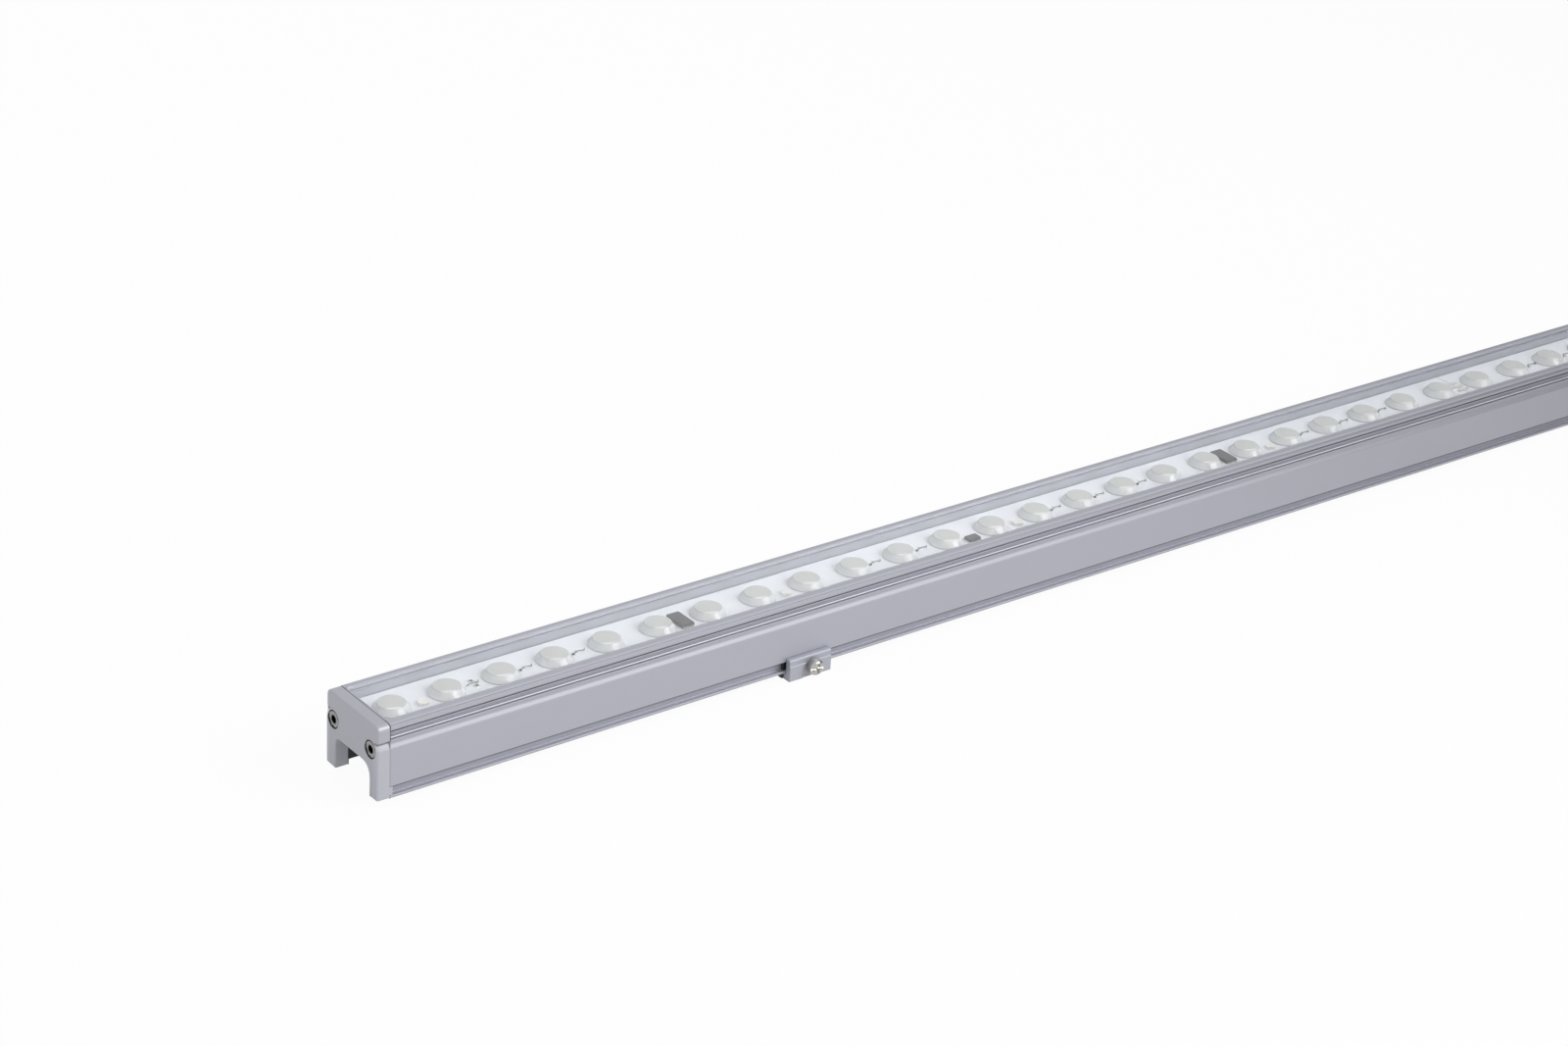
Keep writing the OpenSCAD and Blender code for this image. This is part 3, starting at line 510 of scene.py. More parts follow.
# Painted highlights on the cap's flat side and below its crease, painted shade in the crease.
cap_light_bands = [
    (0.0, SHOULDER_TOP - 2.6, ANY_DEPTH, -0.1),                         # flat side
    (SHOULDER_TOP - 0.75, SHOULDER_TOP + 0.05, (0.2, 0.5), 0.45),       # crease
    (SHOULDER_TOP - 2.6, SHOULDER_TOP - 0.75, (-0.2, 0.3), -0.3)]       # slanted band below it
add_painted_light_bands(materials["anodised_aluminium"], profile_light_bands)
add_painted_light_bands(materials["cap_metal"], cap_light_bands)
print("tone bands:", len(profile_light_bands), "on the profile,", len(cap_light_bands), "on the caps")

# %% [markdown]
# ## Cover glass
# The glass is a flat strip. Light from the lamps has to reach the board through it, and real
# refraction blocks shadow rays. Caustics would let them through, but with much noise. So the
# material is a plain glass for the camera and clear for shadow rays, which Light Path tells
# apart.

# %% Glass that lets the studio light through
glass = add_material("cover_glass", (0.975, 0.985, 0.985), 0.012, mottle=0.004,
                     grain=(400.0, 0.004), bump=0.000002, transmission=1.0, ior=1.5)
glass_nodes, glass_links = glass.node_tree.nodes, glass.node_tree.links
ray = glass_nodes.new("ShaderNodeLightPath")
clear = glass_nodes.new("ShaderNodeBsdfTransparent")
clear.inputs["Color"].default_value = (0.94, 0.95, 0.955, 1)
mixed = glass_nodes.new("ShaderNodeMixShader")
glass_links.new(ray.outputs["Is Shadow Ray"], mixed.inputs[0])
glass_links.new(glass_nodes["Principled BSDF"].outputs[0], mixed.inputs[1])
glass_links.new(clear.outputs[0], mixed.inputs[2])
glass_links.new(mixed.outputs[0], glass_nodes["Material Output"].inputs["Surface"])
print("materials:", len(materials))

# %% [markdown]
# ## CAD nodes that stay
# Most small parts already have the right shape, so making them anew would gain nothing. Real
# edges are never perfectly sharp, though, and a sharp edge catches no light. A Weld modifier
# joins the loose triangles of a CAD node, a Bevel rounds its edges, and weighted normals keep its
# flat faces flat.

# %% Soft edges on CAD nodes
slot_of = {row["node"]: row["material_slot"] for row in frame["record"]["subparts"]}
WELD_REACH = 0.000002
BEVEL_ANGLE = math.radians(35)
EDGE_WIDTH = {"cap_screws": 0.2, "board_screws": 0.3, "inlet_screws": 0.25, "gland_nut": 0.25,
              "cable_inlet": 0.35, "clip_base": 0.25, "clamp_pad": 0.12, "circuit_board": 0.1,
              "cap_gasket": 0.05, "heat_pad": 0.04, "cover_glass": 0.06, "light_chips": 0.15,
              "board_link": 0.12, "inlet_seal": 0.15, "gland_ring": 0.1}


def soften(node, width):
    """Weld, Bevel and Weighted Normal on one CAD node. Its own points and faces stay."""
    thing = frame["nodes"][node]
    thing.data.shade_smooth()
    weld = thing.modifiers.new("weld", "WELD")
    weld.merge_threshold = WELD_REACH
    bevel = thing.modifiers.new("soft_edges", "BEVEL")
    bevel.width = width * MM
    bevel.segments = 2
    bevel.limit_method = "ANGLE"
    bevel.angle_limit = BEVEL_ANGLE
    bevel.use_clamp_overlap = True
    thing.modifiers.new("even_normals", "WEIGHTED_NORMAL")


for node, thing in frame["nodes"].items():
    thing.data.materials.clear()
    thing.data.materials.append(materials[slot_of[node]])
    family = node.replace("_left", "").replace("_right", "")
    if family in EDGE_WIDTH:
        soften(node, EDGE_WIDTH[family])
print("softened:", sum(1 for thing in frame["nodes"].values() if len(thing.modifiers)))

# %% [markdown]
# ## Housing
# The housing is an extrusion, so one outline tells everything: lip, clip groove, flat side,
# slanted shoulder, ribs, rounded top corner with its fine line, and the ledges that carry the
# glass. A Bevel on the CAD node would give all edges one width. Here each corner gets the radius
# that its place in the die has, and the outline is carried along the lamp.

# %% Levels and depths of the outline
TOP_R, LINE_DEPTH = 1.6, 0.3
OPEN_Y, LEDGE_Y = 12.4, 11.4
GROOVE_Y, GROOVE_LOW, GROOVE_TOP = 13.6, 1.0, 4.35
DEEP_Y = HALF_W - 1.25
BOARD_AND_PAD = 1.5
CHAMBER_FLOOR = BOARD_TOP - LIFT - BOARD_AND_PAD
LEDGE_Z = BODY_H - 3.0
rib_step = (BODY_H - TOP_R - SHOULDER_TOP) / 3
rib_low = [SHOULDER_TOP + rib_step * count - 0.5 for count in (1, 2, 3)]


def top_corner():
    """The rounded top corner: two arcs about one centre, with a short deeper arc between them."""
    centre = (HALF_W - TOP_R, BODY_H - TOP_R)
    points = np.concatenate([curve_points(centre, TOP_R, 0, 40, 5),
                             curve_points(centre, TOP_R - LINE_DEPTH, 41, 49, 2),
                             curve_points(centre, TOP_R, 50, 90, 5)])
    return np.column_stack([points, np.zeros(len(points))]).tolist()


def rib(low, height, back, low_radius, high_radius):
    """Four corners of a rib: out of the deep face, up its own face, which lies back by a little
    from the side, and in again."""
    face = HALF_W - back
    return [(DEEP_Y, low, 0.12), (face, low, low_radius), (face, low + height, high_radius),
            (DEEP_Y, low + height, 0.12)]


print("ribs start at", [round(float(low), 2) for low in rib_low], "mm")

# %% Housing outline and sweep
lower_half = [(OPEN_Y, CHANNEL_Z, 0.5), (OPEN_Y, 0, 0.2), (HALF_W, 0, 0.35),
              (HALF_W, GROOVE_LOW, 0.2), (GROOVE_Y, GROOVE_LOW, 0.2),
              (GROOVE_Y, GROOVE_TOP, 0.25), (HALF_W, GROOVE_TOP, 0.15)]
shoulder_half = [(HALF_W, SHOULDER_Z, 0.4), (HALF_W - 0.75, SHOULDER_Z + 1.5, 0.4),
                 (HALF_W - 0.85, SHOULDER_TOP, 0.15), (DEEP_Y, SHOULDER_TOP, 0.1),
                 *rib(rib_low[0], 0.55, 0.22, 0.2, 0.3), *rib(rib_low[1], 0.5, 0.6, 0.12, 0.2),
                 (DEEP_Y, rib_low[2], 0.12), (HALF_W, rib_low[2], 0.12)]
inner_half = [(OPEN_Y, BODY_H, 0.15), (OPEN_Y, LEDGE_Z, 0.1), (LEDGE_Y, LEDGE_Z, 0.15),
              (LEDGE_Y, CHAMBER_FLOOR, 0.1)]
right_side = np.array(lower_half + shoulder_half + top_corner() + inner_half)
left_side = right_side[::-1] * np.array([-1, 1, 1])
housing_outline = round_corners(np.concatenate([right_side, left_side]))
housing_outline[:, 1] += LIFT
housing_shape = prism(housing_outline, [housing_low[0], housing_high[0]], [0.0, 0.0])
add_piece("housing_profile", housing_shape, "anodised_aluminium", "lamp", ["housing"])

# %% [markdown]
# ## Glue line
# The glass is glued in with a bead of silicone that goes round all four of its edges, and sets it
# off from the metal. A groove in the housing could stand for it, but the bead has a finish of its
# own. Four long boxes with rounded edges are enough, because it is filled flush.

# %% Silicone frame round the glass
SEAL_IN, SEAL_END, SEAL_ROUND = 11.83, 0.57, 0.08
SEAL_LOW, SEAL_TOP = LIFT + LEDGE_Z, LIFT + BODY_H - 0.03
seal_boxes = []
for side in (-1, 1):
    near, far = sorted((side * SEAL_IN, side * OPEN_Y))
    seal_boxes.append(rounded_box((housing_low[0], near, SEAL_LOW),
                                  (housing_high[0], far, SEAL_TOP), SEAL_ROUND))
for side in (-1, 1):
    near, far = sorted((side * (housing_high[0] - SEAL_END), side * housing_high[0]))
    seal_boxes.append(rounded_box((near, -OPEN_Y, SEAL_LOW), (far, OPEN_Y, SEAL_TOP), SEAL_ROUND))
add_piece("seal_frame", join_shapes(seal_boxes), "clear_sealant", "lamp", ["glass_seal"])

# %% [markdown]
# ## End caps
# A cap is a casting: its outline with the cable arch is carried forward and rounds over into the
# front face, which has two counterbores for the screws. The shoulder line of the housing runs on
# round the cap as a crease that fades towards the front edge. Sculpting could give that, but here
# it is one more inset, added to each ring by a formula.

# %% Cap outline and crease
TAB_REACH = 1.25
CAP_T = cap_high[0] - LAMP_END - TAB_REACH
PORT_Y = 11.125
PORT_Z = CHAMBER_FLOOR - 1.6
CREASE_DEPTH = 0.75
ARCH_LEFT, ARCH_RIGHT = -10.9, 9.7
ARCH_ZONE = 10.95


def cap_outline():
    """Closed outline of the cap with its arch, with extra points where the crease bends."""
    side_z = [SHOULDER_Z, SHOULDER_Z + 1.0, SHOULDER_TOP - 0.5, SHOULDER_TOP - 0.1, SHOULDER_TOP,
              SHOULDER_TOP + 0.1, SHOULDER_TOP + 0.25, SHOULDER_TOP + 0.45]
    far_side = [(HALF_W, z, 0.02) for z in side_z]
    near_side = [(-HALF_W, z, 0.02) for z in side_z[::-1]]
    arch_top = CHANNEL_Z + 0.2
    arch = [(ARCH_LEFT, 0, 0.3), (ARCH_LEFT, arch_top, 5.0), (ARCH_RIGHT, arch_top, 3.0),
            (ARCH_RIGHT, 0, 0.3)]
    top = [(HALF_W, BODY_H, 2.2), (-HALF_W, BODY_H, 2.2)]
    corners = [*arch, (HALF_W, 0, 0.9), *far_side, *top, *near_side, (-HALF_W, 0, 0.9)]
    return round_corners(corners, steps=8)


def crease_depth(height):
    """Depth of the crease by height: it grows evenly up the slanted band and closes fast above."""
    return np.interp(height, [SHOULDER_Z, SHOULDER_TOP, SHOULDER_TOP + 0.25], [0, CREASE_DEPTH, 0])


print("cap outline:", len(cap_outline()), "points, thickness", round(CAP_T, 2), "mm")

# %% Outer wall of the cap
CAP_ROUND = 0.9
ARCH_ROUND = 0.35
BLEND = 5


def cap_wall():
    """Rings from the back of the cap to its front. Each is the outline drawn in by the rounding,
    radius times (1 - cosine), and by the crease times a share that falls towards the front. The
    radius is smaller in the arch, and a running mean blends the two."""
    outline = cap_outline()
    arch = (np.abs(outline[:, 0]) < ARCH_ZONE) & (outline[:, 1] < CHANNEL_Z + 1)
    radius = np.where(arch, ARCH_ROUND, CAP_ROUND)
    padded = np.concatenate([radius[-BLEND:], radius, radius[:BLEND]])
    radius = np.convolve(padded, np.ones(2 * BLEND + 1) / (2 * BLEND + 1), "valid")
    on_side = np.abs(np.abs(outline[:, 0]) - HALF_W) < 0.02
    crease = np.where(on_side, crease_depth(outline[:, 1]), 0)
    direction = inward(outline)
    rings = [(CAP_T, 0.0, 1.0), (CAP_T - 0.12, 0.0, 1.0)]
    rings += [(CAP_ROUND + (CAP_T - CAP_ROUND) * share, 0.0, 0.8 + 0.2 * share)
              for share in (0.75, 0.5, 0.35)]
    rings += [(radius * (1 - math.sin(step)), radius * (1 - math.cos(step)), 0.75 * math.cos(step))
              for step in np.linspace(0, math.pi / 2, 7)]
    return [(np.broadcast_to(depth, len(outline)),
             outline + direction * (inset + crease * share)[:, None])
            for depth, inset, share in rings]


print("rings in the wall of the cap:", len(cap_wall()))

# %% Faces and counterbores of the cap
BORE_R, BORE_DEPTH, SHANK_R = 3.1, 3.3, 1.65


def flat_face(x, loops):
    """Triangles that fill the first loop and leave the others open, all at one depth x."""
    rings = [[Vector((x, y, z)) for y, z in loop] for loop in loops]
    points = np.array([tuple(point) for ring in rings for point in ring])
    return points, [list(face) for face in tessellate_polygon(rings)]


def tube(loops):
    """A wall through rings of (depth x, loop), all with the same number of points; the depth is one
    number or one for each point."""
    rings = [np.column_stack([np.broadcast_to(x, len(loop)), loop]) for x, loop in loops]
    return np.concatenate(rings), grid_faces(len(rings), len(rings[0]))


def end_cap_shape():
    """The left end cap about its own end: x runs from 0 at the front to CAP_T at the back."""
    wall = cap_wall()
    centres = [(side * PORT_Y, PORT_Z) for side in (-1, 1)]
    bores = [circle(centre, BORE_R + 0.15) for centre in centres]
    shanks = [circle(centre, SHANK_R) for centre in centres]
    shapes = [tube(wall), flat_face(0.0, [wall[-1][1], *bores]),
              flat_face(CAP_T, [wall[0][1], *shanks])]
    for centre in centres:
        steps = [(0.0, BORE_R + 0.15), (0.05, BORE_R + 0.05), (0.15, BORE_R),
                 (BORE_DEPTH - 0.2, BORE_R), (BORE_DEPTH, BORE_R - 0.2), (BORE_DEPTH, SHANK_R),
                 (CAP_T, SHANK_R)]
        shapes.append(tube([(depth, circle(centre, radius)) for depth, radius in steps]))
    return join_shapes(shapes)


print("cap without its step:", len(end_cap_shape()[0]), "points")

# %% Stepped front and tabs
FRONT_STEP = 0.22
STEP_LOW, STEP_HIGH = PORT_Z - 0.5, 1.8
STEP_REACH = 2.5
TAB_LOW, TAB_TOP, TAB_IN = 1.15, 4.2, 13.75


def step_front(shape):
    """Sets the upper part of the front face back: the faces are cut along lines across the cap, and
    points above them move back by a smooth step of their height, 3 t squared less 2 t cubed, and
    the less the further behind the front they are."""
    points, faces = shape
    mesh = bpy.data.meshes.new("cap_draft")
    mesh.from_pydata(points.tolist(), [], faces)
    draft = bmesh.new()
    draft.from_mesh(mesh)
    bmesh.ops.remove_doubles(draft, verts=draft.verts, dist=0.0005)
    for level in (-0.9, -0.45, 0.0, 0.45, 0.9):
        everything = draft.verts[:] + draft.edges[:] + draft.faces[:]
        bmesh.ops.bisect_plane(draft, geom=everything, dist=0.0001,
                               plane_co=(0, 0, PORT_Z + 0.4 + level), plane_no=(0, 0, 1))
    draft.verts.index_update()
    moved = np.array([tuple(vert.co) for vert in draft.verts])
    cut_faces = [[vert.index for vert in face.verts] for face in draft.faces]
    draft.free()
    bpy.data.meshes.remove(mesh)
    t = np.clip((moved[:, 2] - STEP_LOW) / STEP_HIGH, 0, 1)
    moved[:, 0] += FRONT_STEP * t * t * (3 - 2 * t) * np.clip(1 - moved[:, 0] / STEP_REACH, 0, 1)
    return moved, cut_faces


def cap_tabs():
    """The two tabs behind the cap that enter the clip grooves."""
    boxes = []
    for side in (-1, 1):
        near, far = sorted((side * TAB_IN, side * (HALF_W - 0.02)))
        boxes.append(rounded_box((CAP_T - 0.3, near, TAB_LOW), (CAP_T + TAB_REACH, far, TAB_TOP),
                                 0.15, "x"))
    return boxes


cap_points, cap_faces = join_shapes([step_front(end_cap_shape()), *cap_tabs()])
left_cap = (cap_points + np.array([LAMP_END, 0, LIFT]), cap_faces)
add_piece("cap_casting_left", left_cap, "cap_metal", "lamp", ["end_cap_left"])
add_piece("cap_casting_right", turned_round(left_cap), "cap_metal", "lamp", ["end_cap_right"])

# %% [markdown]
# ## Counterbores and the joint behind the cap
# Little light reaches the bottom of a counterbore, so the metal is painted with shade there: darker
# close to the axis of each cap screw, and darkest in the socket. The joint behind the cap shows a
# black gasket at the top, and a smear of grey sealant covers it on the sides. Both could be thin
# extra pieces, but masks from Object coordinates leave the surfaces whole.

# %% Painted shade near the cap screws and sealant on the sides
SEALANT_COLOR = (0.36, 0.365, 0.39)
BORE_ZONE = 6


def add_painted_bore_shade(material, rings):
    """Painted shade: scales the colour by one less the shares of the rings a point is inside. A
    ring is a distance from the screw axis, the root of the two squared offsets, and its share."""
    nodes, place, color, target = open_color(material)
    across = math_node(nodes, "ABSOLUTE", place["Y"])
    offset_y = math_node(nodes, "SUBTRACT", across, PORT_Y * MM)
    offset_z = math_node(nodes, "SUBTRACT", place["Z"], (LIFT + PORT_Z) * MM)
    squares = math_node(nodes, "MULTIPLY_ADD", offset_y, offset_y,
                        math_node(nodes, "MULTIPLY", offset_z, offset_z))
    radius = math_node(nodes, "SQRT", squares)
    along = math_node(nodes, "ABSOLUTE", place["X"])
    at_end = math_node(nodes, "GREATER_THAN", along, -(LAMP_END + BORE_ZONE) * MM)
    shade = 0.0
    for reach, share in rings:
        inside_ring = math_node(nodes, "LESS_THAN", radius, reach * MM)
        shade = math_node(nodes, "MULTIPLY_ADD", inside_ring, share, shade)
    factor = math_node(nodes, "SUBTRACT", 1.0, math_node(nodes, "MULTIPLY", shade, at_end))
    material.node_tree.links.new(scaled(nodes, color, factor), target)


def add_side_sealant(material, depth, top):
    """Mixes grey sealant into the colour near the side faces and below a level."""
    nodes, place, color, target = open_color(material)
    across = math_node(nodes, "ABSOLUTE", place["Y"])
    outer = math_node(nodes, "GREATER_THAN", across, (HALF_W - depth) * MM)
    low = math_node(nodes, "LESS_THAN", place["Z"], top * MM)
    smear = math_node(nodes, "MULTIPLY", outer, low)
    material.node_tree.links.new(painted(nodes, color, smear, SEALANT_COLOR), target)


def add_bright_heads(material, level, gain):
    """Scales the colour by one plus a gain above a level, where the screws are nickel plated."""
    nodes, place, color, target = open_color(material)
    high = math_node(nodes, "GREATER_THAN", place["Z"], level * MM)
    factor = math_node(nodes, "MULTIPLY_ADD", high, gain, 1.0)
    material.node_tree.links.new(scaled(nodes, color, factor), target)


SOCKET_R = 1.6
# Painted shade in the cap's counterbores.
add_painted_bore_shade(materials["cap_metal"], [(BORE_R + 0.1, 0.75)])
add_bright_heads(materials["stainless_steel"], BOARD_TOP, 0.75)
# Painted shade on the cap screws' heads, darkest in their sockets.
add_painted_bore_shade(materials["stainless_steel"], [(BORE_R, 0.35), (SOCKET_R, 0.5)])
add_side_sealant(materials["black_rubber"], 1.0, LIFT + SHOULDER_TOP)
print("shaded bores of radius", BORE_R)

# %% [markdown]
# ## Lenses
# Each light chip has a round clear lens: a thin flange, a steep round shoulder and a nearly flat
# top that gathers the light. It is a profile turned about an upright axis, once for every lens.
# In clear plastic the steep wall looks pale, and one patch of it nearly white, because it bends
# the light of the studio towards the eye. Real refraction would give that too, but it needs many
# samples on shapes this small. So the wall is painted pale in the material, as painted light, and
# its patch is a painted highlight on the same side of every lens.

# %% Painted light on each lens wall and its painted highlight
DISC_R = 4.6
# Place and tones of the painted light on the lens walls.
HIGHLIGHT_WAY = (0.348, 0.928)
HIGHLIGHT_HALF_W, HIGHLIGHT_START = 2.5, 3.6
PAINTED_WALL_TONE, PAINTED_HIGHLIGHT_COLOR = (0.90, 0.91, 0.93), (0.91, 0.91, 0.90)


def add_painted_lens_light(material):
    """Mixes painted light, a pale tone, into the lens wall, and a near white painted highlight on
    one side of it. Places along the lamp are counted from the nearest lens middle: pitch times
    (fraction(x / pitch + half) - half)."""
    nodes, place, color, target = open_color(material)
    pitch = LENS_PITCH * MM
    count = math_node(nodes, "MULTIPLY_ADD", place["X"], 1 / pitch, 0.5 - FIRST_LENS / LENS_PITCH)
    along = math_node(nodes, "MULTIPLY_ADD", math_node(nodes, "FRACT", count), pitch, -pitch / 2)
    ahead = math_node(nodes, "MULTIPLY_ADD", place["Y"], -HIGHLIGHT_WAY[1],
                      math_node(nodes, "MULTIPLY", along, -HIGHLIGHT_WAY[0]))
    aside = math_node(nodes, "MULTIPLY_ADD", place["Y"], HIGHLIGHT_WAY[0],
                      math_node(nodes, "MULTIPLY", along, -HIGHLIGHT_WAY[1]))
    squares = math_node(nodes, "ADD", math_node(nodes, "MULTIPLY", ahead, ahead),
                        math_node(nodes, "MULTIPLY", aside, aside))
    radius = math_node(nodes, "SQRT", squares)
    on_wall = math_node(nodes, "GREATER_THAN", radius, (DISC_R + 0.15) * MM)
    narrow = math_node(nodes, "LESS_THAN", math_node(nodes, "ABSOLUTE", aside), HIGHLIGHT_HALF_W * MM)
    facing = math_node(nodes, "GREATER_THAN", ahead, HIGHLIGHT_START * MM)
    above = math_node(nodes, "GREATER_THAN", place["Z"], (BOARD_TOP + 0.5) * MM)
    highlight = math_node(nodes, "MULTIPLY", math_node(nodes, "MULTIPLY", narrow, facing), above)
    pale = painted(nodes, color, on_wall, PAINTED_WALL_TONE)
    material.node_tree.links.new(painted(nodes, pale, highlight, PAINTED_HIGHLIGHT_COLOR), target)


# Painted light on every lens wall, with a painted highlight on one side.
add_painted_lens_light(materials["clear_lens"])
print("window half width", HIGHLIGHT_HALF_W, "mm, from", HIGHLIGHT_START, "mm before the lens middle")

# %% Rows of lenses
def lens_profile():
    """Radius and height: up the wall, round the shoulder, over the low dome, whose height falls
    with the square of the radius, and closed below."""
    rim = [(0, 0), (LENS_R - 0.1, 0), (LENS_R, 0.1), (LENS_R, 0.4), (LENS_R - 0.12, 0.55),
           (LENS_R - 0.5, 0.9), (DISC_R + 0.35, LENS_H - 0.6)]
    shoulder = curve_points((DISC_R - 0.1, LENS_H - 0.5), 0.35, 10, 80, 5)
    edge_r, edge_h = shoulder[-1]
    share = np.linspace(0.97, 0, 6)
    dome = np.column_stack([edge_r * share, LENS_H - (LENS_H - edge_h) * share ** 2])
    return np.concatenate([rim, shoulder, dome])


profile = lens_profile()
for row in range(LENS_COUNT // LENSES_IN_ROW):
    lenses = [turned(profile, (FIRST_LENS + LENS_PITCH * number, 0, BOARD_TOP), segments=40)
              for number in range(row * LENSES_IN_ROW, (row + 1) * LENSES_IN_ROW)]
    add_piece(f"lenses_{row + 1}", join_shapes(lenses), "clear_lens", "lamp",
              [f"lens_row_{row + 1}"])

# %% [markdown]
# ## Parts on the boards
# Each board carries two long black driver chips, a smaller regulator and some resistors between
# its lenses. The chips have bent metal pins at their ends, which are what the eye catches beside
# the black body. Two power leads come up near the first lenses, each in a ring of solder, and a
# bent wire with a dark foot runs along every resistor. A flat pattern could show all this, but
# through the glass the parts are seen at a slant, and only real bodies hide and shade each other
# rightly.

# %% Boxes and pins on a board
def after_lens(number, length):
    """Middle of a part that lies close after a lens, counted from the left end."""
    return FIRST_LENS + LENS_PITCH * (number - 1) + LENS_R + 0.35 + length / 2


def gap_middle(number):
    """Halfway between a lens and the next, counted from the left end."""
    return FIRST_LENS + LENS_PITCH * (number - 0.5)


def board_box(x, y, size, radius=0.12):
    """A rounded box that stands on the board, by the middle of its foot and its three sizes."""
    low = (x - size[0] / 2, y - size[1] / 2, BOARD_TOP)
    high = (x + size[0] / 2, y + size[1] / 2, BOARD_TOP + size[2])
    return rounded_box(low, high, radius)


def pins(x, y, width, count, pitch, high):
    """Bent pins at both short ends of a chip: a foot on the board and an upright beside the
    body."""
    shapes = []
    for side in (-1, 1):
        for index in range(count):
            pin_x = x + (index - (count - 1) / 2) * pitch
            foot_y, upright_y = y + side * (width / 2 + 0.1), y + side * (width / 2 - 0.25)
            shapes.append(board_box(pin_x, foot_y, (0.45, 0.9, 0.2), 0.05))
            shapes.append(board_box(pin_x, upright_y, (0.45, 0.25, high), 0.05))
    return shapes


CHIP_LONG, CHIP_AFTER = 5, (6, 18)
REGULATOR_X, REGULATOR_Y = after_lens(12, CHIP_LONG), -3.4
chip_bodies = [board_box(after_lens(number, CHIP_LONG), 0, (CHIP_LONG, 9.3, 1.3), 0.18)
               for number in CHIP_AFTER]
chip_pins = [shape for number in CHIP_AFTER
             for shape in pins(after_lens(number, CHIP_LONG), 0, 9.6, 4, 1.15, 0.75)]
regulator_body = [board_box(REGULATOR_X, REGULATOR_Y, (CHIP_LONG, 3.3, 1.1), 0.15)]
regulator_pins = pins(REGULATOR_X, REGULATOR_Y, 3.5, 3, 1.4, 0.6)
print("pins on a board:", (len(chip_pins) + len(regulator_pins)) // 2)

# %% Bent wires
WIRE_START, WIRE_RUN, WIRE_Y = -3.0, 4.3, -0.3
WIRE_R, WIRE_BEND = 0.14, 0.74
TURN_ALONG, TURN_ACROSS = 1.0, 1.5


def wire(path, radius, segments=8):
    """A thin round wire along a path: each ring lies across the path's direction, with one of its
    axes level."""
    path = np.asarray(path, float)
    way = np.gradient(path, axis=0)
    way /= np.linalg.norm(way, axis=1, keepdims=True)
    level = np.cross(way, [0.0, 0.0, 1.0])
    level /= np.linalg.norm(level, axis=1, keepdims=True)
    upright = np.cross(level, way)
    turn = np.linspace(0, 2 * math.pi, segments, endpoint=False)[None, :, None]
    spoke = np.cos(turn) * level[:, None] + np.sin(turn) * upright[:, None]
    rings = path[:, None] + radius * spoke
    faces = grid_faces(len(path), segments)
    last = segments * (len(path) - 1)
    faces += [list(range(segments))[::-1], list(range(last, last + segments))]
    return rings.reshape(-1, 3), faces


def small_wire(middle):
    """A bent wire in the gap between two lenses: it rises from a dark foot, bows along the part by
    a sine, and turns away across it in the last quarter."""
    t = np.linspace(0, 1, 17)
    run = np.minimum(t / WIRE_BEND, 1)
    turn = np.maximum(t - WIRE_BEND, 0) / (1 - WIRE_BEND)
    along = middle + WIRE_START + WIRE_RUN * run + TURN_ALONG * turn
    across = WIRE_Y + 0.5 * np.sin(np.pi * run) + TURN_ACROSS * turn
    rise = BOARD_TOP + 0.2 + 0.35 * np.sin(np.pi * t)
    return wire(np.column_stack([along, across, rise]), WIRE_R)


RESISTOR_AFTER = (3, 4, 10, 11, 14, 15, 16, 20, 21, 22)
FOOT_PROFILE = [(0, 0), (0.55, 0), (0.5, 0.35), (0, 0.4)]
middles = [gap_middle(number) for number in RESISTOR_AFTER]
resistor_bodies = [board_box(middle, 0.7, (2.4, 1.5, 0.5), 0.1) for middle in middles]
resistor_wires = [small_wire(middle) for middle in middles]
resistor_wires += [turned(FOOT_PROFILE, (middle + WIRE_START, WIRE_Y, BOARD_TOP), segments=12)
                   for middle in middles]
print("resistors on a board:", len(resistor_bodies))

# %% Leads, and all parts on both boards
LEAD_X, LEAD_OFFSETS = gap_middle(2), (-1.8, 1.8)
LEAD_LOW = LIFT + CHANNEL_Z / 2
lead_rise = BOARD_TOP - LEAD_LOW
lead_profile = [(0, 0), (0.6, 0), (0.6, lead_rise + 0.2), (0.3, lead_rise + 0.4),
                (0, lead_rise + 0.45)]
lead_rods = [turned(lead_profile, (LEAD_X, offset, LEAD_LOW), segments=20)
             for offset in LEAD_OFFSETS]
lead_rods.append(small_wire(LEAD_X))
SOLDER_PROFILE = [(0.62, 0), (1.1, 0), (1.0, 0.2), (0.62, 0.4), (0.62, 0)]
solder_rings = [turned(SOLDER_PROFILE, (LEAD_X, offset, BOARD_TOP), segments=24)
                for offset in LEAD_OFFSETS]
board_pieces = [("lead_rods", lead_rods, "wire_insulation", "power_leads"),
                ("solder_rings", solder_rings, "tinned_link", "power_leads"),
                ("driver_body", chip_bodies, "black_chip", "driver_chips"),
                ("driver_pins", chip_pins, "tinned_link", "driver_chips"),
                ("regulator_body", regulator_body, "black_chip", "regulator"),
                ("regulator_pins", regulator_pins, "tinned_link", "regulator"),
                ("resistor_bodies", resistor_bodies, "white_board", "resistors"),
                ("resistor_leads", resistor_wires, "black_chip", "resistors")]
for side in ("left", "right"):
    for name, shapes, slot, node in board_pieces:
        shape = join_shapes(shapes)
        shape = turned_round(shape) if side == "right" else shape
        add_piece(f"{name}_{side}", shape, slot, "lamp", [f"{node}_{side}"])

